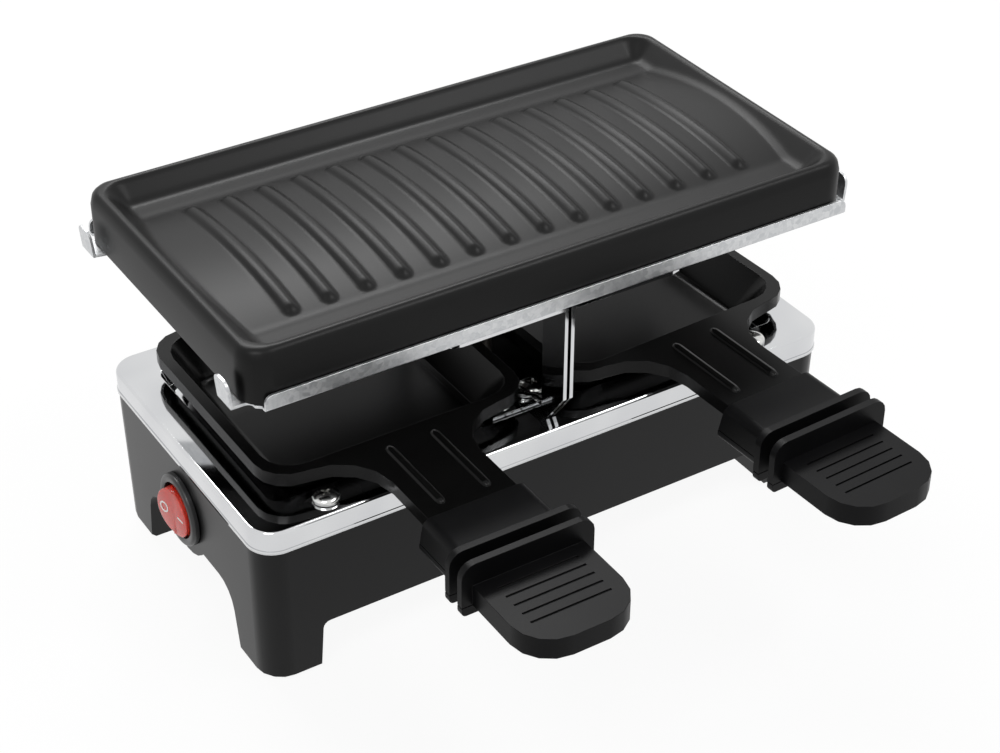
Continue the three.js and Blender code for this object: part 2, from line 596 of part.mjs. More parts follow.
// Rails
function makeRail() {
  const webEnd = plateHalfX - rail.webShort;
  const leftEnd = rail.leftShort - plateHalfX;
  const rightEnd = plateHalfX - rail.rightShort;
  const inner = railFace - rail.web;
  const tabBack = -inner - rail.tabInset;
  const tabFront = tabBack - rail.tabWidth;
  const bendX = plateHalfX + plate.draft + rail.tabClear;
  const web = extrudeZ(outline([
    [leftEnd, -railFace], [rightEnd, -railFace], [rightEnd, -railFace + rail.notch / 2],
    [webEnd, -railFace + rail.notch, rail.sheet / 2], [webEnd, tabFront, rail.tabFillet],
    [bendX, tabFront], [bendX, tabBack], [webEnd, -inner],
    [-webEnd, -inner], [-bendX, tabBack], [-bendX, tabFront],
    [-webEnd, tabFront, rail.tabFillet], [-webEnd, -railFace + rail.notch, rail.sheet / 2],
    [leftEnd, -railFace + rail.notch / 2],
  ]), webBottom, webTop);
  const flangeTop = webBottom + rail.flange;
  const profile = extrudeX(outline([
    [-railFace - rail.sheet, webBottom, rail.foldRound], [-railFace, webBottom],
    [-railFace, flangeTop], [-railFace - rail.sheet, flangeTop],
  ]), leftEnd, rightEnd);
  const flange = profile.intersect(extrudeY(outline([
    [leftEnd, webBottom], [rightEnd, webBottom],
    [rightEnd, flangeTop, rail.flangeRound], [leftEnd, flangeTop, rail.flangeRound],
  ]), -railFace - rail.sheet - overrun, -railFace + overrun));
  const tabTop = webTop + rail.tabRise;
  const tabs = sides.map(([, sideX]) => {
    const bent = extrudeY(sheetOutline([
      [sideX * (webEnd - rail.tabWidth), webTop], [sideX * bendX, webTop],
      [sideX * (bendX + rail.tabLean), tabTop],
    ], -sideX * rail.sheet), tabFront, tabBack);
    return bent.intersect(extrudeX(outline([
      [tabFront, webBottom - overrun], [tabBack, webBottom - overrun],
      [tabBack, tabTop, rail.tabRound], [tabFront, tabTop, rail.tabRound],
    ]), 0, sideX * (plateHalfX + plateHalfY)));
  });
  return cut(join([web, flange, ...tabs]), sides.map(([, sideX]) => barZ(
    rivet.shank + gap, sideX * rivetX, -rivetY, webBottom - overrun, webTop + overrun)));
}
const railSolid = makeRail();
addPart(model, 'rail_front', railSolid, 'zincSteel');
addPart(model, 'rail_back', railSolid, 'zincSteel', [0, 0, 0], [0, 0, Math.PI]);

function makeRivet() {
  const grip = pillar.sheet + gap + rail.sheet;
  const { head, headHeight, shank, tail } = rivet;
  const headShare = 0.7;
  return latheZ([
    [0, -grip - gap - tail], [head * headShare, -grip - gap - tail], [head * headShare, -grip - gap],
    [shank, -grip - gap], [shank, gap], [head, gap], [head * headShare, headHeight], [0, headHeight + gap],
  ]);
}
const rivetSolid = makeRivet();

// Grill plate
const gutterHeight = plateTop - plate.gutterDepth;
const archRadius = (plate.archHalf ** 2 + plate.archRise ** 2) / (2 * plate.archRise);
const archAt = (y) => gutterHeight + plate.archRise - archRadius + Math.sqrt(archRadius ** 2 - y ** 2);

function makeGrillPlate() {
  const { cornerRadius, rim, rimRound, rimDrop, gutterSlope, wall, cast, draft } = plate;
  const rounding = Array.from({ length: bendSteps + 1 }, (_, step) => step / bendSteps * quarterTurn);
  const block = loft([
    ring(plateBottom, plateHalfX + draft, plateHalfY + draft, cornerRadius + draft),
    ...rounding.map((angle) => {
      const inset = rimRound * (1 - Math.cos(angle));
      return ring(plateTop - rimDrop * (1 - Math.sin(angle)), plateHalfX - inset, plateHalfY - inset,
        cornerRadius - inset);
    }),
  ]);
  const slopePerDepth = gutterSlope / plate.gutterDepth;
  const trayAt = (z, grow) => {
    const inset = rim + (plateTop - z) * slopePerDepth - grow;
    return ring(z, plateHalfX - inset, plateHalfY - inset, plate.trayRadius - (plateTop - z) / 2 + grow);
  };
  const tray = loft([trayAt(gutterHeight, 0), trayAt(plateTop + overrun, 0)]);
  const underTray = loft([trayAt(gutterHeight - cast, cast), trayAt(plateTop + overrun, cast)]);
  const hollow = loft([
    ring(plateBottom - overrun, plateHalfX + draft - wall, plateHalfY + draft - wall, cornerRadius - wall),
    ring(plateTop - rimDrop - wall / 2, plateHalfX - wall, plateHalfY - wall, cornerRadius - wall),
  ]).subtract(underTray);
  const archSteps = 12;
  const arch = (drop, half, root) => extrudeX(new THREE.Shape([
    ...Array.from({ length: archSteps + 1 }, (_, step) => {
      const y = plate.archHalf * (2 * step / archSteps - 1);
      return new THREE.Vector2(y, archAt(y) - drop);
    }),
    new THREE.Vector2(plate.archHalf, gutterHeight - drop - root),
    new THREE.Vector2(-plate.archHalf, gutterHeight - drop - root),
  ]), -half, half);
  const archEnd = plateHalfX - rim - wall / 2;
  const underArchEnd = plateHalfX - rim - gutterSlope - cast;
  const ribs = Array.from({ length: plate.ribCount }, (_, index) => ridge(
    plate.ribPitch * (index - (plate.ribCount - 1) / 2), -plate.ribLength / 2, plate.ribLength / 2,
    plate.ribWidth, plate.ribHeight, archAt, cast / 2));
  return cut(block, [tray]).add(arch(0, archEnd, cast / 2)).subtract(hollow)
    .subtract(arch(cast, underArchEnd, overrun)).add(join(ribs));
}
addPart(model, 'grill_plate', makeGrillPlate(), 'nonStick');

// Heating element: one tube from the front leg, round the four sides, to the back leg
const legBottom = deckUnder - heater.legDepth;

function makeElement() {
  const x = heater.legOffset;
  const z = heaterHeight;
  const turnX = -(heaterHalfX - heater.turnInset);
  const frontTurn = (heater.frontLeg + heaterHalfY) / 2;
  const backTurn = (heaterHalfY - heater.backLeg) / 2;
  return tube([
    [x, heater.backLeg, legBottom], [x, heater.backLeg, z], [turnX, heater.backLeg, z, backTurn],
    [turnX, heaterHalfY, z, backTurn], [heaterHalfX, heaterHalfY, z, heater.cornerBend],
    [heaterHalfX, -heaterHalfY, z, heater.cornerBend], [turnX, -heaterHalfY, z, frontTurn],
    [turnX, heater.frontLeg, z, frontTurn], [x, heater.frontLeg, z], [x, heater.frontLeg, legBottom],
  ], heater.bend, heater.tubeRadius, tubeSides);
}
addPart(model, 'heating_element', makeElement(), 'elementSteel');

function makeBush() {
  const bore = heater.tubeRadius + gap;
  const seat = gap;
  return latheZ([
    [bore, -heater.bushDrop], [heater.bushBody, -heater.bushDrop], [heater.bushBody, seat],
    [heater.bushFlange, seat], [heater.bushFlange, heater.bushProud], [bore, heater.bushProud],
    [bore, -heater.bushDrop],
  ], roundSides);
}
const bushSolid = makeBush();
const pinSolid = barZ(heater.pinRadius, 0, 0, -gap - heater.pinLength, -gap);
legPlaces.forEach(([label, y]) => {
  addPart(model, `element_bush_${label}`, bushSolid, 'ceramic', [heater.legOffset, y, deckFloor]);
  addPart(model, `element_pin_${label}`, pinSolid, 'brass', [heater.legOffset, y, legBottom]);
});

// Brackets: a cranked strip under both rails, with hooks round the element's runs
function makeBracket(runs) {
  const { bracketSheet, bracketLap, bracketRamp, bracketWidth, hookWidth, hookLip, tubeRadius } = heater;
  const under = heaterHeight + tubeRadius + gap;
  const lapTop = pillarTop;
  const lapY = railFace - rail.web + bracketLap;
  const endY = railFace - bracketLap;
  const line = [
    [-endY, lapTop - bracketSheet], [-lapY, lapTop - bracketSheet], [-lapY + bracketRamp, under],
    [lapY - bracketRamp, under], [lapY, lapTop - bracketSheet], [endY, lapTop - bracketSheet],
  ];
  const strip = extrudeX(sheetOutline(line, bracketSheet), -bracketWidth / 2, bracketWidth / 2);
  const hooks = runs.map(([y, toward]) => {
    const near = y - toward * (tubeRadius + gap);
    const bottom = heaterHeight - tubeRadius - gap;
    return extrudeX(outline([
      [near, under + bracketSheet], [near - toward * bracketSheet, under + bracketSheet],
      [near - toward * bracketSheet, bottom - bracketSheet], [near + toward * hookLip, bottom - bracketSheet],
      [near + toward * hookLip, bottom], [near, bottom],
    ]), -hookWidth / 2, hookWidth / 2);
  });
  return join([strip, ...hooks]);
}
const outerRuns = [[-heaterHalfY, 1], [heaterHalfY, -1]];
const innerRuns = [[heater.frontLeg, -1], [heater.backLeg, 1]];
const allRuns = [...outerRuns, ...innerRuns];
addPart(model, 'heater_bracket_left', makeBracket(allRuns), 'zincSteel', [-bracketX, 0, 0]);
addPart(model, 'heater_bracket_right', makeBracket(outerRuns), 'zincSteel', [bracketX, 0, 0]);
quarters.forEach(({ label, sideX, endY }) => addPart(
  model, `rail_rivet_${label}`, rivetSolid, 'screwSteel', [sideX * rivetX, endY * rivetY, webTop]));

// Pans, each in a group of its own with its handle
const neckY = -pan.depth / 2;
const neckEnd = neckY - pan.neckLength;
const tongueEnd = neckEnd - pan.tongueLength;
const sleeveBack = neckEnd + handle.sleeveOverlap;
const guardBack = sleeveBack - handle.sleeveLength;
const postY = tongueEnd + handle.postInset;
const sleeveTop = panRim + gap + handle.roof;

function panOutline(inset) {
  const halfX = pan.width / 2 - inset;
  const halfY = pan.depth / 2 - inset;
  const neck = pan.neckWidth / 2 - inset;
  const corner = pan.cornerRadius - inset;
  const fillet = pan.neckFillet + inset;
  return outline([
    [halfX, halfY, corner], [-halfX, halfY, corner], [-halfX, -halfY, corner], [-neck, -halfY, fillet],
    [-neck, neckEnd + inset], [neck, neckEnd + inset], [neck, -halfY, fillet], [halfX, -halfY, corner],
  ]);
}

function makePan() {
  const { sheet, flange, baseInset, baseRadius, mouthRadius, baseRound, baseEdge } = pan;
  const mouthX = pan.width / 2 - flange;
  const mouthY = pan.depth / 2 - flange;
  const skin = extrudeZ(panOutline(0), panRim - pan.lip, panRim)
    .subtract(extrudeZ(panOutline(sheet), panRim - pan.lip - overrun, panRim - sheet));
  const baseX = mouthX - baseInset;
  const baseY = mouthY - baseInset;
  const bowl = (grow, bottom, top) => loft([
    ring(bottom, baseX - baseRound + grow, baseY - baseRound + grow, baseRadius - baseRound + grow),
    ring(bottom + baseEdge, baseX - baseEdge + grow, baseY - baseEdge + grow, baseRadius - baseEdge + grow),
    ring(bottom + baseRound, baseX + grow, baseY + grow, baseRadius + grow),
    ring(top, mouthX + grow, mouthY + grow, mouthRadius + grow),
  ]);
  const tongueHalf = pan.tongueWidth / 2;
  const tongue = box(-tongueHalf, tongueHalf, tongueEnd, neckEnd + pan.lip, panRim - sheet, panRim);
  const bead = (side) => ridge(
    side * pan.beadSpacing / 2, neckY - pan.beadStart - pan.beadLength, neckY - pan.beadStart,
    pan.beadWidth, pan.beadHeight, () => panRim, sheet / 2);
  return join([skin, bowl(sheet, panBase, panRim - sheet / 2), tongue, bead(-1), bead(1)])
    .subtract(bowl(0, panBase + sheet, panRim + overrun))
    .subtract(barZ(pan.tongueHole, 0, postY, panRim - sheet - overrun, panRim + overrun));
}

// Handle upper moulding
const seam = panRim - handle.seamDrop;
const guardStarts = [guardBack, guardBack - handle.guardThickness - handle.slot];
const guardFront = guardStarts[1] - handle.guardThickness;
const gripEnd = guardFront - handle.gripLength;
const coreScrewY = (guardStarts[0] + guardFront) / 2;
const cavityHalf = pan.neckWidth / 2 + gap;
const coverSeat = seam - gap;
const coverBottom = coverSeat - handle.coverThickness;
const headSeat = coverBottom + coverScrew.headHeight;
const sleeveHalf = handle.sleeveWidth / 2;
const guardHalf = handle.guardWidth / 2;
const coreHalf = handle.coreWidth / 2;

function makeHandleUpper() {
  const sleeve = extrudeY(outline([
    [-sleeveHalf, seam], [sleeveHalf, seam], [sleeveHalf, sleeveTop, handle.sleeveRound],
    [-sleeveHalf, sleeveTop, handle.sleeveRound],
  ]), guardBack - handle.guardThickness, sleeveBack + handle.backLean).intersect(extrudeX(outline([
    [guardBack - handle.guardThickness, seam - overrun], [sleeveBack + handle.backLean, seam - overrun],
    [sleeveBack, sleeveTop + overrun], [guardBack - handle.guardThickness, sleeveTop + overrun],
  ]), -sleeveHalf - overrun, sleeveHalf + overrun));
  const guardTop = panRim + handle.guardRise;
  const guards = guardStarts.map((y) => extrudeY(outline([
    [-guardHalf, seam], [guardHalf, seam], [guardHalf, guardTop, handle.guardRound],
    [-guardHalf, guardTop, handle.guardRound],
  ]), y - handle.guardThickness, y));
  const core = box(-coreHalf, coreHalf, guardFront, guardBack, seam, panRim - handle.coreDrop);
  const gripHalf = handle.gripWidth / 2;
  const gripTop = panRim - handle.gripDrop;
  const grip = extrudeZ(outline([
    [-gripHalf, guardFront + handle.guardThickness / 2], [-gripHalf, gripEnd, handle.gripRadius],
    [gripHalf, gripEnd, handle.gripRadius], [gripHalf, guardFront + handle.guardThickness / 2],
  ]), gripTop - handle.gripThickness, gripTop);
  const post = barZ(handle.postRadius, 0, postY, seam, panRim + gap + overrun / 2);
  const cavity = box(-cavityHalf, cavityHalf, tongueEnd - gap, sleeveBack + handle.backLean + overrun,
    seam - overrun, panRim + gap);
  const grooves = Array.from({ length: handle.grooveCount }, (_, index) => {
    const y = guardFront - handle.grooveStart - index * handle.groovePitch;
    return box(-handle.grooveLength / 2, handle.grooveLength / 2, y - handle.grooveWidth / 2,
      y + handle.grooveWidth / 2, gripTop - handle.grooveDepth, gripTop + overrun);
  });
  const pilotTop = headSeat + coverScrew.length + coverScrew.pilotSpare;
  const pilots = [postY, coreScrewY].map((y) => barZ(
    handle.pilotRadius, 0, y, seam - overrun, pilotTop));
  return cut(join([sleeve, ...guards, core, grip]).subtract(cavity).add(post), [...grooves, ...pilots]);
}

// Lower cover: floor of the sleeve, feet of the guards and the pad that clamps the pan's tongue
function makeHandleCover() {
  const toe = handle.guardToe;
  const plateUnder = (half, y0, y1) => extrudeY(outline([
    [-half, coverSeat], [-half, coverBottom, toe], [half, coverBottom, toe], [half, coverSeat],
  ]), y0, y1);
  const pad = box(-handle.padWidth / 2, handle.padWidth / 2, postY - handle.padLength / 2,
    postY + handle.padLength / 2, coverBottom + toe, panRim - pan.sheet - gap);
  const body = join([
    plateUnder(sleeveHalf, guardBack - handle.guardThickness, sleeveBack + handle.backLean),
    ...guardStarts.map((y) => plateUnder(guardHalf, y - handle.guardThickness, y)),
    plateUnder(coreHalf, guardFront, guardBack), pad,
  ]);
  return cut(body, [
    barZ(handle.postRadius + gap, 0, postY, coverSeat, panRim),
    ...[postY, coreScrewY].flatMap((y) => [
      barZ(coverScrew.shank + gap, 0, y, coverBottom - overrun, coverSeat + overrun),
      barZ(coverScrew.head + gap, 0, y, coverBottom - overrun, headSeat + gap),
    ]),
  ]);
}

function makeSmallScrew({ shank, head, headHeight, length }) {
  return latheZ([[0, -length], [shank, -length], [shank, 0], [head, 0], [head, headHeight], [0, headHeight]]);
}
const panSolid = makePan();
const upperSolid = makeHandleUpper();
const coverSolid = makeHandleCover();
const coverScrewSolid = makeSmallScrew(coverScrew);
const panPlaces = [['left', leftPanX, 0, 0], ['right', rightPanX, -pan.rightShift, rightPanYaw]];
panPlaces.forEach(([label, x, y, yaw]) => {
  const group = new THREE.Group();
  group.position.set(x, y, 0);
  group.rotation.z = yaw;
  model.add(group);
  addPart(group, `pan_${label}`, panSolid, 'nonStick');
  addPart(group, `handle_upper_${label}`, upperSolid, 'blackGrip');
  addPart(group, `handle_cover_${label}`, coverSolid, 'blackGrip');
  [['back', postY], ['front', coreScrewY]].forEach(([end, y]) => addPart(
    group, `handle_screw_${label}_${end}`, coverScrewSolid, 'screwSteel', [0, y, headSeat], [Math.PI, 0, 0]));
});

// Switch: the body's own frame has its axis along X through the centre, -X out of the wall
const wallAtToggle = wallHalfX - housing.draft * (1 - toggleHeight / housing.height);
const bezelSeat = -(wallAtToggle + gap);
const bezelFace = bezelSeat - toggle.bezelThickness;
const barrelEnd = bezelSeat + toggle.barrelLength;
const wellFloor = bezelFace + toggle.wellDepth;
const bladePlaces = [['input', -1], ['output', 0], ['lamp', 1]];

function makeSwitchBody() {
  const { bezelRadius, bezelRound, barrelRadius, wellRadius, lipRound } = toggle;
  const out = (x) => -x;
  const profile = [
    [0, out(barrelEnd)], [barrelRadius, out(barrelEnd)], [barrelRadius, out(bezelSeat)],
    [bezelRadius, out(bezelSeat)], [bezelRadius, out(bezelFace) - bezelRound],
    [bezelRadius - bezelRound / 3, out(bezelFace) - bezelRound / 3],
    [bezelRadius - bezelRound, out(bezelFace)],
    [wellRadius + lipRound, out(bezelFace)], [wellRadius, out(bezelFace) - lipRound],
    [wellRadius, out(wellFloor)], [0, out(wellFloor)],
  ];
  const body = solidOf(new THREE.LatheGeometry(profile.map(([r, h]) => new THREE.Vector2(r, h)), roundSides)
    .rotateZ(quarterTurn).translate(0, toggle.offCentre, toggleHeight));
  const slotStart = barrelEnd - toggle.bladeSeat - gap;
  const bladeSlots = bladePlaces.map(([, place]) => makeBladeBox(place, gap, slotStart));
  const lampHole = barX(toggle.lampRadius + gap, toggle.offCentre, toggleHeight,
    wellFloor - overrun, wellFloor + toggle.lampLength + gap);
  const pivots = barZ(rocker.pivotRadius + gap, bezelFace + rocker.pivotDepth, toggle.offCentre,
    toggleHeight - wellRadius, toggleHeight + wellRadius);
  return cut(body, [...bladeSlots, lampHole, pivots]);
}

function makeBladeBox(place, grow, start) {
  const y = toggle.offCentre + place * toggle.bladeSpacing;
  const halfThick = toggle.bladeThickness / 2 + grow;
  const halfWide = toggle.bladeWidth / 2 + grow;
  return box(start, barrelEnd + toggle.bladeLength, y - halfThick, y + halfThick,
    toggleHeight - halfWide, toggleHeight + halfWide);
}
addPart(model, 'switch_body', makeSwitchBody(), 'bezelPlastic');
bladePlaces.forEach(([label, place]) => addPart(
  model, `switch_blade_${label}`, makeBladeBox(place, 0, barrelEnd - toggle.bladeSeat), 'brass'));
addPart(model, 'switch_lamp', barX(toggle.lampRadius, toggle.offCentre, toggleHeight,
  wellFloor, wellFloor + toggle.lampLength, screwSides), 'lampGlass');

// Rocker, about its pivot: a dished round button with a ring mark at the back and a bar at the front
function makeRocker() {
  const { radius, dip, flare, backEdge, backRidge, pivotRadius, markProud, markSpread } = rocker;
  const body = extrudeZ(outline([
    [-dip - flare, -radius], [backEdge, -radius], [backRidge, 0], [backEdge, radius], [-dip - flare, radius],
    [-dip, 0],
  ]), -radius, radius).intersect(barX(radius, 0, 0, -dip - flare - overrun, backRidge + overrun));
  const slope = Math.atan2(flare, radius);
  const faceX = -dip - flare * markSpread / radius;
  const mark = (geometry, sideY) => solidOf(geometry
    .rotateZ(sideY * -slope).translate(faceX, sideY * markSpread, 0));
  const root = markProud * 2;
  const ringMark = new THREE.LatheGeometry([
    [rocker.ringRadius - rocker.strokeWidth, -root], [rocker.ringRadius, -root],
    [rocker.ringRadius, markProud], [rocker.ringRadius - rocker.strokeWidth, markProud],
    [rocker.ringRadius - rocker.strokeWidth, -root],
  ].map(([r, h]) => new THREE.Vector2(r, h)), roundSides).rotateZ(quarterTurn);
  const barMark = new THREE.BoxGeometry(root + markProud, rocker.barLength, rocker.strokeWidth)
    .translate((root - markProud) / 2, 0, 0);
  return join([body, barZ(pivotRadius, 0, 0, -toggle.wellRadius + gap, toggle.wellRadius - gap),
    mark(ringMark, 1), mark(barMark, -1)]);
}
const tilt = THREE.MathUtils.degToRad(toggle.tiltDegrees);
addPart(model, 'switch_rocker', makeRocker(), 'redLens',
  [bezelFace + rocker.pivotDepth, toggle.offCentre, toggleHeight], [0, 0, tilt]);

// Mains parts
const glandSeat = wallHalfY - housing.depthDraft * (1 - wayHeight / housing.height) + gap;

function makeGland() {
  const inside = tubHalfY - mains.glandInset;
  const outside = glandSeat + mains.glandHead;
  const bar = (radius, y0, y1) => barY(radius, blockX, wayHeight, y0, y1);
  return bar(mains.glandFlange, glandSeat, outside).add(bar(mains.glandBody, inside, outside))
    .subtract(bar(mains.glandBore, inside - overrun, outside + overrun));
}
addPart(model, 'cord_gland', makeGland(), 'blackPlastic');

const wayPlaces = [-1, 0, 1].map((way) => blockX + way * mains.wayPitch);
const blockFront = blockY - mains.blockLength / 2;

function makeTerminalBlock() {
  const block = box(
    blockX - mains.blockWidth / 2, blockX + mains.blockWidth / 2,
    blockFront, blockY + mains.blockLength / 2, blockSeat, blockSeat + mains.blockHeight);
  const ways = wayPlaces.flatMap((x) => [
    barY(mains.wayRadius, x, wayHeight, blockFront - overrun, blockFront + mains.wayDepth, screwSides),
    barY(mains.wayRadius, x, wayHeight, blockY + mains.blockLength / 2 - mains.wayDepth,
      blockY + mains.blockLength / 2 + overrun, screwSides),
  ]);
  return cut(block, [...ways, barZ(mains.blockScrew + gap, blockX, blockY,
    blockSeat - overrun, blockSeat + mains.blockHeight + overrun)]);
}
addPart(model, 'terminal_block', makeTerminalBlock(), 'palePlastic');
addPart(model, 'terminal_screw', makeSmallScrew({
  shank: mains.blockScrew, head: mains.blockScrewHead, headHeight: mains.blockScrew,
  length: mains.blockHeight + blockSeat - tubFloor,
}), 'screwSteel', [blockX, blockY, blockSeat + mains.blockHeight + gap]);

const fuseHalf = mains.fuseLength / 2;
addPart(model, 'thermal_fuse', barX(mains.fuseRadius, toggle.offCentre, toggleHeight,
  mains.fusePlace - fuseHalf, mains.fusePlace + fuseHalf, screwSides), 'palePlastic');

// Leads, all at the height of the terminal ways
const bladeEnd = barrelEnd + toggle.bladeLength + gap;
const pinClear = heater.pinRadius + gap;
const wayStart = blockFront + mains.wayDepth - gap;
const riseX = screwX - mains.tagArm + mains.tagRadius / 2;
const tagTop = sidePostTop;
const blades = bladePlaces.map(([, place]) => toggle.offCentre + place * toggle.bladeSpacing);
const leadTurn = bladeEnd + mains.elbow;
const leads = {
  lead_live: ['liveJacket', [
    [wayPlaces[1], wayStart], [wayPlaces[1], mains.liveDepth], [leadTurn, mains.liveDepth],
    [leadTurn, blades[0]], [bladeEnd, blades[0]],
  ]],
  lead_switched: ['liveJacket', [[bladeEnd, blades[1]], [mains.fusePlace - fuseHalf - gap, blades[1]]]],
  lead_fused: ['liveJacket', [
    [mains.fusePlace + fuseHalf + gap, toggle.offCentre], [heater.legOffset - mains.elbow, toggle.offCentre],
    [heater.legOffset - mains.elbow, heater.frontLeg], [heater.legOffset - pinClear, heater.frontLeg],
  ]],
  lead_neutral: ['neutralJacket', [
    [wayPlaces[0], wayStart], [wayPlaces[0], heater.backLeg], [heater.legOffset + pinClear, heater.backLeg],
  ]],
  lead_lamp: ['neutralJacket', [
    [heater.legOffset, heater.backLeg + pinClear], [heater.legOffset, mains.neutralTurn],
    [leadTurn, mains.neutralTurn], [leadTurn, blades[2]], [bladeEnd, blades[2]],
  ]],
};
Object.entries(leads).forEach(([name, [jacket, corners]]) => addPart(model, name, tube(
  corners.map(([x, y]) => [x, y, wayHeight]), mains.leadBend, mains.leadRadius, leadSides), jacket));
addPart(model, 'lead_earth', tube([
  [wayPlaces[2], wayStart, wayHeight], [wayPlaces[2], mains.earthTurn, wayHeight],
  [riseX, mains.earthTurn, wayHeight], [riseX, screwY, wayHeight],
  [riseX, screwY, tagTop - mains.tagThickness - gap],
], mains.leadBend, mains.leadRadius, leadSides), 'earthJacket');

function makeEarthTag() {
  const bottom = tagTop - mains.tagThickness;
  const armHalf = mains.tagWidth / 2;
  return barZ(mains.tagRadius, screwX, screwY, bottom, tagTop)
    .add(box(screwX - mains.tagArm, screwX, screwY - armHalf, screwY + armHalf, bottom, tagTop))
    .subtract(barZ(mains.tagBore, screwX, screwY, bottom - overrun, tagTop + overrun));
}
addPart(model, 'earth_tag', makeEarthTag(), 'brass');

// The origin is under the middle of the whole part, on the surface that it stands on
const middle = new THREE.Box3().setFromObject(model, true).getCenter(new THREE.Vector3());
model.position.y = -middle.y;

export default grill;
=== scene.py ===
"""Raclette grill for two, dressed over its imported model: finishes, rounded edges and the fine
forms of the plate, deck, screws and switch. Sizes are in millimetres until they become a mesh."""
import json
import math

import bmesh
import bpy
from mathutils import Matrix, Quaternion, Vector


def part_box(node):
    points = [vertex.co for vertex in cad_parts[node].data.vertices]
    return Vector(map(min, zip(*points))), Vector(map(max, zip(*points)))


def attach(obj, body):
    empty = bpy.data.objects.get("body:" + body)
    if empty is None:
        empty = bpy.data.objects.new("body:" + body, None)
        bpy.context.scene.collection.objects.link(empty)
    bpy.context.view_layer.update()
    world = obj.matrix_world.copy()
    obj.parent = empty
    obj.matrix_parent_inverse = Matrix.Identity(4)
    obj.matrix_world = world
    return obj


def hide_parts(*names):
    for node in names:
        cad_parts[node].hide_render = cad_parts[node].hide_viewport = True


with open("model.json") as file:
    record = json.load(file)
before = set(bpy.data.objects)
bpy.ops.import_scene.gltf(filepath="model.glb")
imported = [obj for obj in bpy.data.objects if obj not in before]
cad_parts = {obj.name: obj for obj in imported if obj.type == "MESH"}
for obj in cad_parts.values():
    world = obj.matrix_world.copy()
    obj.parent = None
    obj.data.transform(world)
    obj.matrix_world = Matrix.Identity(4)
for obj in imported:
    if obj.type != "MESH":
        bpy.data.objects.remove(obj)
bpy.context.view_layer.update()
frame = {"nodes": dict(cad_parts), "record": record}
NODES = frame["nodes"]
BODY_OF = {
    node: body
    for body, nodes in frame["record"]["behaviour"]["bodies"].items()
    for node in nodes
}
SLOT_OF = {part["node"]: part["material_slot"] for part in frame["record"]["subparts"]}
MM = 0.001
WELD = 0.001
CREASE_DEGREES = 32
QUARTER = math.pi / 2
SIDES = ("left", "right")
ENDS = ("front", "back")
QUARTERS = [f"{end}_{side}" for end in ENDS for side in SIDES]


def span(node):
    """A CAD node's lowest and highest corner in millimetres."""
    low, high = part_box(node)
    return low / MM, high / MM


# Camera, measured from the photograph's straight edges
FOCAL_LENGTH = 77.19
SENSOR_WIDTH = 36
CAMERA_AT = Vector((-305.1, -455.4, 452.3))
LOOKS_AT = Vector((7.5, 37.4, 47.3))
ROLL_DEGREES = 0.28


def make_camera():
    data = bpy.data.cameras.new("camera")
    data.lens = FOCAL_LENGTH
    data.sensor_width = SENSOR_WIDTH
    data.clip_start = 0.01
    camera = bpy.data.objects.new("camera", data)
    bpy.context.scene.collection.objects.link(camera)
    aim = (LOOKS_AT - CAMERA_AT).to_track_quat("-Z", "Y")
    roll = Quaternion((0, 0, 1), math.radians(ROLL_DEGREES))
    camera.rotation_mode = "QUATERNION"
    camera.rotation_quaternion = aim @ roll
    camera.location = CAMERA_AT * MM
    bpy.context.scene.camera = camera


# Materials
def linear(colour, alpha=1.0):
    """An sRGB hex value as the linear colour that the shaders take."""
    parts = [(colour >> shift & 255) / 255 for shift in (16, 8, 0)]
    bent = [c / 12.92 if c <= 0.04045 else ((c + 0.055) / 1.055) ** 2.4 for c in parts]
    return (*bent, alpha)


def add_node(tree, kind, settings=None, **inputs):
    """Adds a node, with its own settings and with values or links for its sockets."""
    node = tree.nodes.new(kind)
    for key, value in (settings or {}).items():
        setattr(node, key, value)
    for key, value in inputs.items():
        socket = node.inputs[key.replace("_", " ")]
        if isinstance(value, bpy.types.NodeSocket):
            tree.links.new(value, socket)
        else:
            socket.default_value = value
    return node


def start_material(name, **shader):
    """A new material with its Principled shader and the socket of its Object coordinates."""
    material = bpy.data.materials.new(name)
    material.use_nodes = True
    tree = material.node_tree
    tree.nodes.clear()
    bsdf = add_node(tree, "ShaderNodeBsdfPrincipled", **shader)
    add_node(tree, "ShaderNodeOutputMaterial", Surface=bsdf.outputs["BSDF"])
    place = add_node(tree, "ShaderNodeTexCoord").outputs["Object"]
    return material, tree, bsdf, place


def grains(size):
    """The noise scale whose grains are that many millimetres wide."""
    return 1 / (size * MM)


def noise(tree, place, size, detail):
    """A soft pattern of grains of one size."""
    return add_node(
        tree, "ShaderNodeTexNoise", Vector=place, Scale=grains(size), Detail=detail
    ).outputs["Fac"]


def ramp(tree, fac, low_colour, high_colour, low=0.3, high=0.7):
    node = add_node(tree, "ShaderNodeValToRGB", Fac=fac)
    node.color_ramp.elements[0].position = low
    node.color_ramp.elements[1].position = high
    node.color_ramp.elements[0].color = low_colour
    node.color_ramp.elements[1].color = high_colour
    return node.outputs["Color"]


def spread(tree, fac, low, high):
    """A 0 to 1 pattern drawn out between two values."""
    return add_node(
        tree, "ShaderNodeMapRange", **{"Value": fac, "To_Min": low, "To_Max": high}
    ).outputs["Result"]


def vary(tree, bsdf, pattern, dark, light, roughness):
    """Lets a pattern drive the colour and the gloss between two values each."""
    tone = ramp(tree, pattern, linear(dark), linear(light))
    tree.links.new(tone, bsdf.inputs["Base Color"])
    tree.links.new(spread(tree, pattern, *roughness), bsdf.inputs["Roughness"])


def emboss(tree, bsdf, pattern, depth):
    """Lets a pattern raise the surface by a depth in millimetres."""
    relief = add_node(
        tree, "ShaderNodeBump", Strength=1.0, Distance=depth * MM, Height=pattern
    ).outputs["Normal"]
    tree.links.new(relief, bsdf.inputs["Normal"])


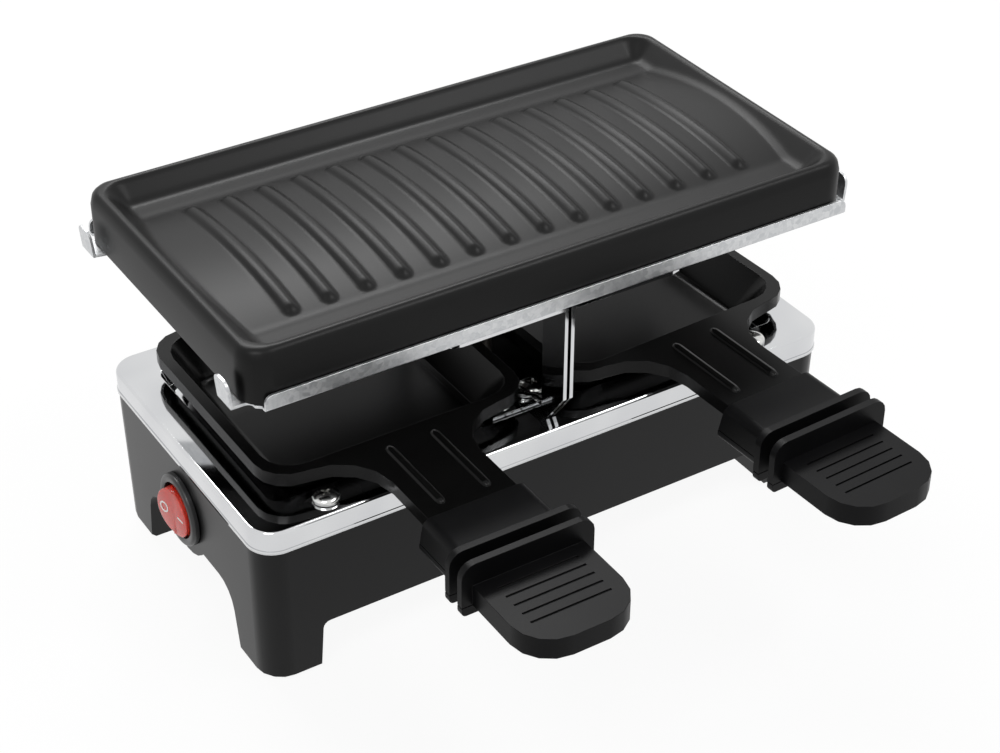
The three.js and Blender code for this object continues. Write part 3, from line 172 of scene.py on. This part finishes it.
def coated(name, dark, light, roughness, grain, bump, cloud=35.0, **shader):
    """A pigmented surface: a slow cloud in colour and gloss, and a fine grain in relief."""
    material, tree, bsdf, place = start_material(name, **shader)
    slow = noise(tree, place, cloud, 3.0)
    fine = noise(tree, place, grain, 2.0)
    vary(tree, bsdf, slow, dark, light, roughness)
    emboss(tree, bsdf, fine, bump)
    return material


def moulded_abs():
    """Satin black ABS: an even mould texture that only softens the reflections."""
    return coated(
        "moulded_abs", 0x060607, 0x0A0A0B, roughness=(0.28, 0.34), grain=0.5, bump=0.004,
        Specular_IOR_Level=0.2,
    )


def grained_nylon():
    """Glass-filled nylon of the handles: its fine grain sparkles where an edge turns."""
    return coated(
        "grained_nylon", 0x070708, 0x0C0C0D, roughness=(0.36, 0.44), grain=0.35, bump=0.02,
        Specular_IOR_Level=0.1,
    )


def ptfe_on_cast_aluminium():
    """Sprayed non-stick coat on the cast plate: a soft sheen over a faint orange peel."""
    return coated(
        "ptfe_on_cast_aluminium", 0x0B0B0B, 0x0F0F0F, roughness=(0.34, 0.4), grain=0.8,
        bump=0.004, IOR=1.4, Specular_IOR_Level=0.24,
    )


def ptfe_on_steel_sheet():
    """Rolled non-stick coat on the pans: flatter and a little glossier than the plate."""
    return coated(
        "ptfe_on_steel_sheet", 0x0B0B0B, 0x0F0F0F, roughness=(0.2, 0.25), grain=0.5,
        bump=0.002, IOR=1.4, Specular_IOR_Level=0.2,
    )


def polished_stainless():
    """Mirror-polished sheet: a clear reflection with a faint waviness from the press."""
    material, tree, bsdf, place = start_material("polished_stainless", Metallic=1.0)
    wave = noise(tree, place, 18.0, 1.0)
    vary(tree, bsdf, wave, 0xCDCED0, 0xD6D7D8, (0.05, 0.09))
    emboss(tree, bsdf, wave, 0.04)
    return material


def galvanised_sheet():
    """Hot-dip zinc on sheet steel: small spangles in tone and gloss, on a pale grey."""
    material, tree, bsdf, place = start_material("galvanised_sheet", Metallic=1.0)
    spangle = add_node(
        tree, "ShaderNodeTexVoronoi", Vector=place, Scale=grains(1.6)
    ).outputs["Color"]
    speck = noise(tree, place, 0.8, 4.0)
    mixed = add_node(tree, "ShaderNodeMix", {"data_type": "FLOAT"}, Factor=0.5)
    tree.links.new(spangle, mixed.inputs[2])
    tree.links.new(speck, mixed.inputs[3])
    vary(tree, bsdf, mixed.outputs[0], 0xBEC0C2, 0xD4D5D6, (0.3, 0.42))
    emboss(tree, bsdf, speck, 0.008)
    return material


def bare_metal(name, dark, light, roughness, grain):
    """A plated or drawn metal whose tone and gloss vary in fine grains."""
    return coated(name, dark, light, roughness, grain, bump=0.002, cloud=grain * 4, Metallic=1.0)


def red_polycarbonate():
    """Clear red lens of the rocker: light goes in and comes back warm."""
    material, tree, bsdf, place = start_material("red_polycarbonate", IOR=1.58)
    bsdf.inputs["Transmission Weight"].default_value = 0.35
    bsdf.inputs["Subsurface Weight"].default_value = 0.3
    bsdf.inputs["Subsurface Scale"].default_value = 2 * MM
    vary(tree, bsdf, noise(tree, place, 6.0, 1.0), 0xEC3A28, 0xF64A36, (0.16, 0.24))
    return material


def lamp_glass():
    """Thin glass of the glow lamp, faintly amber."""
    material, tree, bsdf, place = start_material("lamp_glass", IOR=1.5)
    bsdf.inputs["Transmission Weight"].default_value = 0.8
    vary(tree, bsdf, noise(tree, place, 1.5, 1.0), 0xF0C8A0, 0xF6DCC0, (0.04, 0.1))
    return material


MATERIALS = {
    "housing_plastic": moulded_abs(),
    "deck_steel": polished_stainless(),
    "screw_steel": bare_metal("nickelled_steel", 0xC9C9C7, 0xDCDCDA, (0.12, 0.22), 0.5),
    "zinc_steel": galvanised_sheet(),
    "plate_coating": ptfe_on_cast_aluminium(),
    "pan_coating": ptfe_on_steel_sheet(),
    "handle_plastic": grained_nylon(),
    "element_steel": bare_metal("scaled_incoloy", 0x4A4744, 0x6A6763, (0.4, 0.55), 1.5),
    "ceramic": coated("steatite", 0xDDD6C8, 0xEAE4D8, (0.5, 0.65), 0.3, 0.01),
    "brass": bare_metal("rolled_brass", 0xB08F45, 0xC4A455, (0.25, 0.35), 0.6),
    "bezel_plastic": coated("moulded_pbt", 0x1A1A1B, 0x202021, (0.3, 0.38), 0.4, 0.004),
    "red_lens": red_polycarbonate(),
    "lamp_glass": lamp_glass(),
    "pale_plastic": coated("cream_nylon", 0xD9D4C2, 0xE4E0D0, (0.45, 0.55), 0.4, 0.006),
    "live_jacket": coated("brown_silicone", 0x5A3520, 0x694028, (0.5, 0.6), 0.3, 0.004),
    "neutral_jacket": coated("blue_silicone", 0x2A5594, 0x3563A6, (0.5, 0.6), 0.3, 0.004),
    "earth_jacket": coated("green_silicone", 0x7E9A2E, 0x93AE3A, (0.5, 0.6), 0.3, 0.004),
}
PRINT_WHITE = coated("pad_printed_white", 0xF0F0EE, 0xF6F6F4, (0.4, 0.5), 0.3, 0.002)


# Pieces
def finish_piece(name, bm, nodes, material=None, crease=CREASE_DEGREES):
    """Makes the mesh a piece that stands for its CAD nodes and rides on their body."""
    body = BODY_OF[nodes[0]]
    slot = SLOT_OF[nodes[0]]
    for face in bm.faces:
        face.smooth = True
    for edge in bm.edges:
        edge.smooth = not edge.is_manifold or edge.calc_face_angle(0) < math.radians(crease)
    mesh = bpy.data.meshes.new(name)
    bm.to_mesh(mesh)
    bm.free()
    piece = bpy.data.objects.new(name, mesh)
    bpy.context.scene.collection.objects.link(piece)
    mesh.materials.append(material or MATERIALS[slot])
    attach(piece, body)
    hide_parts(*nodes)
    return piece


def scale_to_metres(bm):
    bmesh.ops.scale(bm, vec=(MM, MM, MM), verts=bm.verts)


def outward(bm):
    bmesh.ops.recalc_face_normals(bm, faces=bm.faces)


def copy_of(node):
    """A CAD node's mesh with its loose triangles merged and its flat faces whole."""
    bm = bmesh.new()
    bm.from_mesh(NODES[node].data)
    bmesh.ops.remove_doubles(bm, verts=bm.verts, dist=0.002 * MM)
    bmesh.ops.dissolve_limit(
        bm, angle_limit=math.radians(0.5), verts=bm.verts, edges=bm.edges
    )
    return bm


def round_edges(piece, radius, segments=2, over=CREASE_DEGREES):
    """Rounds a piece's sharp edges as its tool or its press would."""
    bevel = piece.modifiers.new("rounded_edges", "BEVEL")
    bevel.width = radius * MM
    bevel.segments = segments
    bevel.limit_method = "ANGLE"
    bevel.angle_limit = math.radians(over)
    bevel.use_clamp_overlap = True
    bevel.miter_outer = "MITER_ARC"
    flat = piece.modifiers.new("flat_walls", "WEIGHTED_NORMAL")
    flat.keep_sharp = True
    flat.weight = 80
    return piece


def rounded_copy(node, radius, segments=2, crease=CREASE_DEGREES):
    piece = finish_piece(f"{node}_finished", copy_of(node), [node], crease=crease)
    return round_edges(piece, radius, segments, crease)


def turned(profile, steps=48):
    """A profile of (radius, height) turned about Z, in millimetres."""
    bm = bmesh.new()
    corners = [bm.verts.new((r, 0, h)) for r, h in profile]
    lines = [bm.edges.new(pair) for pair in zip(corners, corners[1:])]
    bmesh.ops.spin(
        bm, geom=corners + lines, cent=(0, 0, 0), axis=(0, 0, 1), dvec=(0, 0, 0),
        angle=2 * math.pi, steps=steps, use_merge=True, use_duplicate=False,
    )
    bmesh.ops.remove_doubles(bm, verts=bm.verts, dist=WELD)
    outward(bm)
    return bm


def quarter_round(radius, steps):
    """The steps of a quarter round over an edge, as pairs of inset and rise."""
    angles = [index / steps * QUARTER for index in range(steps + 1)]
    points = [(1 - math.cos(a), math.sin(a)) for a in angles]
    return [
        ((b[0] - a[0]) * radius, (b[1] - a[1]) * radius)
        for a, b in zip(points, points[1:])
    ]


def running(steps, start=(0, 0)):
    """The points that a list of steps passes through."""
    points = [start]
    for inset, rise in steps:
        points.append((points[-1][0] + inset, points[-1][1] + rise))
    return points


# Grill plate: one surface whose height is worked out at every point
PLATE_RIM_WIDTH = 3.3
PLATE_RIM_DROP = 4.4
PLATE_CREST = 0.3
PLATE_RADIUS = 8.5
TRAY_RADIUS = 9.2
GUTTER_DEPTH = 6.3
GUTTER_SLOPE = 6.7
PLATE_ARCH_RISE = 3.5
PLATE_ARCH_HALF = 37
PLATE_CAST = 2.4
RIB_COUNT = 14
RIB_PITCH = 12.35
RIB_HALF_WIDTH = 3.0
RIB_HEIGHT = 1.6
RIB_HALF_LENGTH = 35
RIB_BACK_POWER = 1.25
CREST_BLEND = 0.5
ARCH_BLEND = 0.25
FLOOR_BLEND = 1.6
ARCH_OVERRUN = 2
PLATE_CELLS_X = 330
PLATE_CELLS_Y = 110


def inside(x, y, half_x, half_y, radius):
    """How far a point lies inside a rounded rectangle."""
    over_x = abs(x) - (half_x - radius)
    over_y = abs(y) - (half_y - radius)
    outside = math.hypot(max(over_x, 0), max(over_y, 0))
    return radius - outside - min(max(over_x, over_y), 0)


def soft_max(a, b, round_off):
    """The higher of two heights, with the crease between them rounded."""
    share = max(round_off - abs(a - b), 0) / round_off
    return max(a, b) + share * share * round_off / 4


def rib_height(x, y):
    """The ribs' rise over the arch: capsules with a rounded back and soft roots."""
    place = x / RIB_PITCH + (RIB_COUNT - 1) / 2
    nearest = min(max(round(place), 0), RIB_COUNT - 1)
    aside = x - (nearest - (RIB_COUNT - 1) / 2) * RIB_PITCH
    past_end = max(abs(y) - (RIB_HALF_LENGTH - RIB_HALF_WIDTH), 0)
    share = math.hypot(aside, past_end) / RIB_HALF_WIDTH
    if share >= 1:
        return 0
    return RIB_HEIGHT * (1 - share * share) ** RIB_BACK_POWER


def plate_height(x, y, half_x, half_y, top, ribbed):
    """The plate's top surface over one point of its plan."""
    outer = inside(x, y, half_x, half_y, PLATE_RADIUS)
    if outer < PLATE_RIM_WIDTH:
        run = 1 - max(outer, 0) / PLATE_RIM_WIDTH
        return top - PLATE_RIM_DROP * (1 - math.sqrt(max(1 - run * run, 0)))
    rim = PLATE_RIM_WIDTH + PLATE_CREST
    depth = inside(x, y, half_x - rim, half_y - rim, TRAY_RADIUS)
    slope = top - depth * GUTTER_DEPTH / GUTTER_SLOPE
    crest = -soft_max(-top, -slope, CREST_BLEND)
    arch = top - GUTTER_DEPTH
    if abs(y) < PLATE_ARCH_HALF + ARCH_OVERRUN:
        arch += PLATE_ARCH_RISE * (1 - (y / PLATE_ARCH_HALF) ** 2)
    floor = soft_max(top - GUTTER_DEPTH, arch, ARCH_BLEND)
    if ribbed:
        floor += rib_height(x, y)
    return soft_max(crest, floor, FLOOR_BLEND)


def to_rounded(x, y, half_x, half_y, radius):
    """Moves a point of the full rectangle's corner blocks on to the rounded corner."""
    over_x = (abs(x) - (half_x - radius)) / radius
    over_y = (abs(y) - (half_y - radius)) / radius
    if min(over_x, over_y) <= 0:
        return x, y
    reach = max(over_x, over_y)
    turn = min(over_x, over_y) / reach * QUARTER / 2
    if over_y > over_x:
        turn = QUARTER - turn
    new_x = half_x - radius + radius * reach * math.cos(turn)
    new_y = half_y - radius + radius * reach * math.sin(turn)
    return math.copysign(new_x, x), math.copysign(new_y, y)


def skin(bm, half_x, half_y, radius, height_at):
    """A fine grid with a rounded outline, lifted to the height of each of its points."""
    made = bmesh.ops.create_grid(bm, x_segments=PLATE_CELLS_X, y_segments=PLATE_CELLS_Y, size=1)
    for vert in made["verts"]:
        x, y = to_rounded(vert.co.x * half_x, vert.co.y * half_y, half_x, half_y, radius)
        vert.co = (x, y, height_at(x, y))
    return made["verts"]


def border(verts):
    chosen = set(verts)
    edges = {edge for vert in chosen for edge in vert.link_edges if edge.is_boundary}
    return [edge for edge in edges if edge.verts[0] in chosen and edge.verts[1] in chosen]


def drop_wall(bm, verts, level):
    """Extends the border of a skin straight down to a level and returns the new border."""
    grown = bmesh.ops.extrude_edge_only(bm, edges=border(verts))["geom"]
    lower = [part for part in grown if isinstance(part, bmesh.types.BMVert)]
    for vert in lower:
        vert.co.z = level
    return lower


def make_grill_plate():
    low, high = span("grill_plate")
    middle = (low + high) / 2
    half_x, half_y = (high - low).xy / 2
    top = high.z
    wall = PLATE_CAST
    under_top = top - PLATE_RIM_DROP - wall / 2

    def above(x, y):
        return plate_height(x, y, half_x, half_y, top, True)

    def below(x, y):
        return min(plate_height(x, y, half_x, half_y, top, False) - wall, under_top)

    bm = bmesh.new()
    upper = skin(bm, half_x, half_y, PLATE_RADIUS, above)
    lower = skin(bm, half_x - wall, half_y - wall, PLATE_RADIUS - wall, below)
    rims = border(drop_wall(bm, upper, low.z)), border(drop_wall(bm, lower, low.z))
    bmesh.ops.bridge_loops(bm, edges=rims[0] + rims[1])
    bmesh.ops.translate(bm, vec=(middle.x, middle.y, 0), verts=bm.verts)
    outward(bm)
    scale_to_metres(bm)
    finish_piece("grill_plate_coated", bm, ["grill_plate"], crease=60)


# Deck: pressed from one polished sheet
DECK_SHEET = 0.8
DECK_EDGE = 1.2
DECK_SIDE_BAND = 11.65
DECK_END_BAND = 13.65
DECK_SLOPE = 2.0
DECK_SUNK = 5.1
DECK_RADIUS = 9
DECK_WELL_RADIUS = 4.0
DECK_HEM = 1.1
DECK_HEM_PROUD = 0.22
DECK_BROW = 0.5
DECK_ROOT = 1.3
DECK_ROUND_STEPS = 5
DECK_CORNER_SEGMENTS = 12


def ringed(stations, segments):
    """A shell through rounded rectangles (half x, half y, radius, height), closed by the last."""
    bm = bmesh.new()
    below = []
    for station in stations:
        half_x, half_y, radius, height = station
        known = set(bm.faces)
        made = bmesh.ops.create_grid(bm, x_segments=1, y_segments=1, size=1)["verts"]
        bmesh.ops.scale(bm, vec=(half_x, half_y, 1), verts=made)
        bmesh.ops.translate(bm, vec=(0, 0, height), verts=made)
        bmesh.ops.bevel(
            bm, geom=made, offset=radius, offset_type="OFFSET", segments=segments,
            profile=0.5, affect="VERTICES", material=-1,
        )
        face = next(face for face in bm.faces if face not in known)
        around = sorted(face.verts, key=lambda vert: math.atan2(vert.co.y, vert.co.x))
        if station is not stations[-1]:
            bm.faces.remove(face)
        if below:
            for a, b, c, d in zip(below, below[1:] + below[:1], around[1:] + around[:1], around):
                bm.faces.new((a, b, c, d))
        below = around
    return bm


def make_deck():
    low, high = span("deck_plate")
    middle = (low + high) / 2
    half_x, half_y = (high - low).xy / 2
    top = high.z - low.z
    fall = math.atan2(DECK_SUNK, DECK_SLOPE)
    brow_reach, root_reach = (radius * math.tan(fall / 2) for radius in (DECK_BROW, DECK_ROOT))
    turns = [index / DECK_ROUND_STEPS * fall for index in range(DECK_ROUND_STEPS + 1)]
    edge = running(quarter_round(DECK_EDGE, DECK_ROUND_STEPS))
    skirt = [(0, 0), (0, DECK_HEM), (DECK_HEM_PROUD, DECK_HEM)]
    skirt += [(DECK_HEM_PROUD + a, top - DECK_EDGE + b) for a, b in edge]
    well = [
        (DECK_BROW * math.sin(a) - brow_reach, top - DECK_BROW * (1 - math.cos(a))) for a in turns
    ]
    well += [
        (DECK_SLOPE + root_reach - DECK_ROOT * math.sin(a),
         top - DECK_SUNK + DECK_ROOT * (1 - math.cos(a)))
        for a in reversed(turns)
    ]
    stations = [
        (half_x - inset, half_y - inset, DECK_RADIUS - inset, height) for inset, height in skirt
    ]
    stations += [
        (half_x - DECK_SIDE_BAND - inset, half_y - DECK_END_BAND - inset,
         DECK_WELL_RADIUS - inset / 2, height)
        for inset, height in well
    ]
    bm = ringed(stations, DECK_CORNER_SEGMENTS)
    bmesh.ops.translate(bm, vec=(middle.x, middle.y, low.z), verts=bm.verts)
    outward(bm)
    scale_to_metres(bm)
    piece = finish_piece("deck_plate_polished", bm, ["deck_plate"], crease=50)
    thick = piece.modifiers.new("sheet", "SOLIDIFY")
    thick.thickness = DECK_SHEET * MM
    thick.offset = -1


# Screws with a cross recess
def carve(piece, cutter_bm):
    """Cuts a shape out of a piece for good."""
    mesh = bpy.data.meshes.new("cutter")
    cutter_bm.to_mesh(mesh)
    cutter_bm.free()
    cutter = bpy.data.objects.new("cutter", mesh)
    bpy.context.scene.collection.objects.link(cutter)
    cut = piece.modifiers.new("carve", "BOOLEAN")
    cut.object = cutter
    cut.solver = "EXACT"
    shaped = piece.evaluated_get(bpy.context.evaluated_depsgraph_get())
    finished = bpy.data.meshes.new_from_object(shaped)
    piece.modifiers.remove(cut)
    old = piece.data
    piece.data = finished
    bpy.data.meshes.remove(old)
    bpy.data.objects.remove(cutter)
    bpy.data.meshes.remove(mesh)


SCREW_HEAD = 4.3
SCREW_HEAD_HEIGHT = 2.6
SCREW_SHANK = 1.9
SCREW_LENGTH = 14
CROSS_LENGTH = 2.0
CROSS_WIDTH = 0.5
CROSS_DEPTH = 1.6
CROSS_TAPER = 0.5
CROSS_OVERRUN = 1
DOME_FOOT_SHARE = 0.35
DOME_STEPS = 8
SCREW_TIP = 1
SCREW_RIM = 0.2
SCREW_TURNS = {"deck": (0.5, 0.2, 1.1, 0.8), "pillar": (0.3, 0.9, 0.1, 1.2)}


def cross_cutter(top):
    """A tapered plus shape, as the tip of a cross-head driver."""
    wide, deep = CROSS_WIDTH, CROSS_LENGTH
    corner = [(deep, wide), (wide, wide), (wide, deep)]
    plan = []
    for turn in range(4):
        for x, y in corner:
            plan.append(Matrix.Rotation(turn * QUARTER, 2) @ Vector((x, y)))
    bm = bmesh.new()
    tip = [bm.verts.new((x * CROSS_TAPER, y * CROSS_TAPER, top - CROSS_DEPTH)) for x, y in plan]
    face = bm.faces.new(tip)
    grown = bmesh.ops.extrude_face_region(bm, geom=[face])["geom"]
    mouth = [part for part in grown if isinstance(part, bmesh.types.BMVert)]
    for vert in mouth:
        vert.co.z = top + CROSS_OVERRUN
        vert.co.x /= CROSS_TAPER
        vert.co.y /= CROSS_TAPER
    outward(bm)
    return bm


def make_cross_head_screws():
    head, height, shank = SCREW_HEAD, SCREW_HEAD_HEIGHT, SCREW_SHANK
    share = DOME_FOOT_SHARE
    dome = [
        (head * math.cos(a), height * (share + (1 - share) * math.sin(a)))
        for a in (index / DOME_STEPS * QUARTER for index in range(DOME_STEPS))
    ]
    bm = turned([
        (0, -SCREW_LENGTH), (shank / 2, -SCREW_LENGTH), (shank, SCREW_TIP - SCREW_LENGTH),
        (shank, 0), (head - SCREW_RIM, 0), (head, SCREW_RIM), *dome, (0, height),
    ])
    mesh = bpy.data.meshes.new("screw_blank")
    bm.to_mesh(mesh)
    bm.free()
    blank = bpy.data.objects.new("screw_blank", mesh)
    bpy.context.scene.collection.objects.link(blank)
    carve(blank, cross_cutter(height))
    for kind, turns in SCREW_TURNS.items():
        for label, turn in zip(QUARTERS, turns):
            node = f"{kind}_screw_{label}"
            low, high = span(node)
            bm = bmesh.new()
            bm.from_mesh(blank.data)
            bmesh.ops.rotate(bm, matrix=Matrix.Rotation(turn, 3, "Z"), verts=bm.verts)
            seat = Vector(((low.x + high.x) / 2, (low.y + high.y) / 2, high.z - height))
            bmesh.ops.translate(bm, vec=seat, verts=bm.verts)
            scale_to_metres(bm)
            finish_piece(f"{node}_cross_head", bm, [node], crease=40)
    bpy.data.objects.remove(blank)


# Switch: turned bezel, and a rocker with its two marks
BEZEL_ROUND = 1.1
BEZEL_STEPS = 5
BARREL_RADIUS = 10.0
BARREL_LENGTH = 11.0
TURNED_STEPS = 72
WELL_RADIUS = 9.3
WELL_DEPTH = 7.6
WELL_MOUTH = ((0.7, 0), (0.2, 0.25), (0, 0.8))
ROCKER_RADIUS = 8.4
ROCKER_DIP = 4.2
ROCKER_FLARE = 0.75
ROCKER_BACK = 0.8
ROCKER_EDGE = 0.45
ROCKER_PIVOT = 3
ROCKER_TILT_DEGREES = 7.5
ROCKER_SEGMENTS = 64
MARK_SPREAD = 4.6
MARK_PROUD = 0.15
MARK_SUNK = 0.2
RING_RADIUS = 2.0
STROKE = 0.55
BAR_HALF = 1.8


def to_wall(bm, x, y, z):
    """Turns a shape that was made along +Z so that it faces out of the left wall."""
    bmesh.ops.rotate(bm, matrix=Matrix.Rotation(-QUARTER, 3, "Y"), verts=bm.verts)
    bmesh.ops.translate(bm, vec=(x, y, z), verts=bm.verts)


def make_switch():
    low, high = span("switch_body")
    centre = (low + high) / 2
    radius = (high.y - low.y) / 2
    seat = high.x - low.x - BARREL_LENGTH
    back = low.x - high.x
    lip = [
        (radius - inset, rise - BEZEL_ROUND)
        for inset, rise in running(quarter_round(BEZEL_ROUND, BEZEL_STEPS))
    ]
    body = turned([
        (0, back), (BARREL_RADIUS, back), (BARREL_RADIUS, -seat), (radius, -seat), *lip,
        *[(WELL_RADIUS + inset, -drop) for inset, drop in WELL_MOUTH],
        (WELL_RADIUS, -WELL_DEPTH), (0, -WELL_DEPTH),
    ], TURNED_STEPS)
    to_wall(body, low.x, centre.y, centre.z)
    scale_to_metres(body)
    finish_piece("switch_body_moulded", body, ["switch_body"], crease=40)
    make_rocker(centre)


def make_rocker(centre):
    tilt = math.radians(ROCKER_TILT_DEGREES)
    slope = math.atan2(ROCKER_FLARE, ROCKER_RADIUS)
    pivot = Vector((span("switch_body")[0].x + ROCKER_PIVOT, centre.y, centre.z))
    bm = bmesh.new()
    bmesh.ops.create_cone(
        bm, cap_ends=True, segments=ROCKER_SEGMENTS, radius1=ROCKER_RADIUS,
        radius2=ROCKER_RADIUS, depth=ROCKER_DIP + ROCKER_FLARE + ROCKER_BACK,
    )
    middle = (ROCKER_DIP + ROCKER_FLARE - ROCKER_BACK) / 2
    bmesh.ops.translate(bm, vec=(0, 0, middle), verts=bm.verts)
    bmesh.ops.bisect_plane(
        bm, geom=bm.verts[:] + bm.edges[:] + bm.faces[:], dist=WELD,
        plane_co=(0, 0, 0), plane_no=(0, 1, 0),
    )
    for vert in bm.verts:
        if vert.co.z > 0:
            vert.co.z = ROCKER_DIP + ROCKER_FLARE * abs(vert.co.y) / ROCKER_RADIUS
    edges = [edge for edge in bm.edges if edge.calc_face_angle(0) > math.radians(50)]
    bmesh.ops.bevel(
        bm, geom=edges, offset=ROCKER_EDGE, segments=3, profile=0.5, affect="EDGES",
        material=-1,
    )
    outward(bm)
    turn = Matrix.Rotation(tilt, 3, "Z")

    def settle(shape):
        bmesh.ops.rotate(shape, matrix=Matrix.Rotation(-QUARTER, 3, "Y"), verts=shape.verts)
        bmesh.ops.rotate(shape, matrix=turn, verts=shape.verts)
        bmesh.ops.translate(shape, vec=pivot, verts=shape.verts)
        scale_to_metres(shape)

    settle(bm)
    finish_piece("switch_rocker_lens", bm, ["switch_rocker"], crease=25)
    ring = turned([
        (RING_RADIUS - STROKE, -MARK_SUNK), (RING_RADIUS, -MARK_SUNK),
        (RING_RADIUS, MARK_PROUD), (RING_RADIUS - STROKE, MARK_PROUD),
        (RING_RADIUS - STROKE, -MARK_SUNK),
    ])
    bar = bmesh.new()
    bmesh.ops.create_cube(bar, size=2)
    bar_rise = (MARK_PROUD + MARK_SUNK) / 2
    bmesh.ops.scale(bar, vec=(STROKE / 2, BAR_HALF, bar_rise), verts=bar.verts)
    bmesh.ops.translate(bar, vec=(0, 0, MARK_PROUD - bar_rise), verts=bar.verts)
    height = ROCKER_DIP + ROCKER_FLARE * MARK_SPREAD / ROCKER_RADIUS
    for name, mark, side in (("switch_mark_ring", ring, 1), ("switch_mark_bar", bar, -1)):
        bmesh.ops.rotate(mark, matrix=Matrix.Rotation(side * slope, 3, "X"), verts=mark.verts)
        bmesh.ops.translate(mark, vec=(0, side * MARK_SPREAD, height), verts=mark.verts)
        settle(mark)
        finish_piece(name, mark, ["switch_rocker"], PRINT_WHITE)


# Pieces that keep their CAD form, with rounded edges
PAN_LIP_ROUND = 2.0
PAN_EDGE_SHARE = 0.3
PAN_LIP_REACH = 0.6
PAN_LIP_SEGMENTS = 5
LEVEL_NORMAL = 0.9


def make_pan(side):
    """The pan's lip is rolled over: a wide round outside and a small one at the bowl."""
    piece = rounded_copy(f"pan_{side}", PAN_LIP_ROUND, PAN_LIP_SEGMENTS)
    bevel = piece.modifiers["rounded_edges"]
    bevel.limit_method = "WEIGHT"
    mesh = piece.data
    rim = span(f"pan_{side}")[1].z - PAN_LIP_REACH
    bm = bmesh.new()
    bm.from_mesh(mesh)
    weight = bm.edges.layers.float.new("bevel_weight_edge")
    for edge in bm.edges:
        if edge.calc_face_angle(0) < math.radians(CREASE_DEGREES):
            continue
        level = any(face.normal.z > LEVEL_NORMAL for face in edge.link_faces)
        on_lip = level and min(vert.co.z / MM for vert in edge.verts) > rim
        edge[weight] = 1.0 if on_lip and edge.is_convex else PAN_EDGE_SHARE
    bm.to_mesh(mesh)
    bm.free()


def make_rounded_pieces():
    rounded_copy("housing", 0.8, 3)
    rounded_copy("cord_gland", 0.5)
    for side in SIDES:
        make_pan(side)
        rounded_copy(f"handle_upper_{side}", 1.3, 4)
        rounded_copy(f"handle_cover_{side}", 0.7)
        rounded_copy(f"heater_bracket_{side}", 0.25)
    for end in ENDS:
        rounded_copy(f"rail_{end}", 0.3)
    for label in QUARTERS:
        rounded_copy(f"pillar_{label}", 0.25)


def make_element():
    bm = copy_of("heating_element")
    piece = finish_piece("heating_element_sheath", bm, ["heating_element"], crease=80)
    smooth = piece.modifiers.new("round_tube", "SUBSURF")
    smooth.levels = 2
    smooth.render_levels = 2


def dress_the_rest():
    """Every CAD node that still shows gets its finish."""
    for name, node in NODES.items():
        node.data.materials.clear()
        node.data.materials.append(MATERIALS[SLOT_OF[name]])
        if name.startswith(("lead_", "element_", "rail_rivet", "handle_screw", "switch_lamp")):
            for polygon in node.data.polygons:
                polygon.use_smooth = True


# Studio
FLOOR_HALF = 3.0
SHADOW_SHARE = 0.07
WORLD_FILL = 0.2


def looked_at(tree):
    """1 where the camera looks, straight or by way of metal or glass, and 0 elsewhere."""
    path = add_node(tree, "ShaderNodeLightPath")
    seen = path.outputs["Is Camera Ray"]
    for kind in ("Is Glossy Ray", "Is Transmission Ray"):
        either = add_node(tree, "ShaderNodeMath", {"operation": "MAXIMUM"})
        tree.links.new(seen, either.inputs[0])
        tree.links.new(path.outputs[kind], either.inputs[1])
        seen = either.outputs[0]
    return seen


def make_floor():
    """A white floor that stays white for the camera and keeps a soft shadow."""
    bm = bmesh.new()
    bmesh.ops.create_grid(bm, x_segments=1, y_segments=1, size=FLOOR_HALF)
    mesh = bpy.data.meshes.new("floor")
    bm.to_mesh(mesh)
    bm.free()
    floor = bpy.data.objects.new("floor", mesh)
    bpy.context.scene.collection.objects.link(floor)
    material = bpy.data.materials.new("studio_floor")
    material.use_nodes = True
    tree = material.node_tree
    tree.nodes.clear()
    paper = add_node(tree, "ShaderNodeBsdfDiffuse", Color=linear(0xFFFFFF))
    glow = add_node(tree, "ShaderNodeEmission", Color=linear(0xFFFFFF), Strength=1.0)
    share = add_node(tree, "ShaderNodeMath", {"operation": "MULTIPLY"})
    tree.links.new(looked_at(tree), share.inputs[0])
    share.inputs[1].default_value = 1 - SHADOW_SHARE
    mixed = add_node(tree, "ShaderNodeMixShader", Fac=share.outputs[0])
    tree.links.new(paper.outputs[0], mixed.inputs[1])
    tree.links.new(glow.outputs[0], mixed.inputs[2])
    add_node(tree, "ShaderNodeOutputMaterial", Surface=mixed.outputs[0])
    mesh.materials.append(material)


def make_world():
    """White where the camera or a reflection looks past the object, dimmer as a fill."""
    world = bpy.data.worlds.new("studio")
    world.use_nodes = True
    bpy.context.scene.world = world
    tree = world.node_tree
    tree.nodes.clear()
    strength = spread(tree, looked_at(tree), WORLD_FILL, 1.0)
    glow = add_node(tree, "ShaderNodeBackground", Color=linear(0xFFFFFF), Strength=strength)
    add_node(tree, "ShaderNodeOutputWorld", Surface=glow.outputs[0])


def soft_box(name, place, size, power, target=(0, 0, 60)):
    light = bpy.data.lights.new(name, "AREA")
    light.shape = "RECTANGLE"
    light.size, light.size_y = (side * MM for side in size)
    light.energy = power
    lamp = bpy.data.objects.new(name, light)
    bpy.context.scene.collection.objects.link(lamp)
    lamp.location = Vector(place) * MM
    lamp.rotation_mode = "QUATERNION"
    lamp.rotation_quaternion = (Vector(target) - Vector(place)).to_track_quat("-Z", "Y")


def make_lights():
    soft_box("key_box", (-600, -450, 1000), (500, 500), 4.2)
    soft_box("rim_box", (450, -420, 900), (500, 150), 3)
    soft_box("back_box", (160, 850, 1050), (1000, 260), 12)


make_camera()
make_grill_plate()
make_deck()
make_cross_head_screws()
make_switch()
make_rounded_pieces()
make_element()
dress_the_rest()
make_floor()
make_world()
make_lights()
bpy.context.scene.view_settings.view_transform = "Standard"
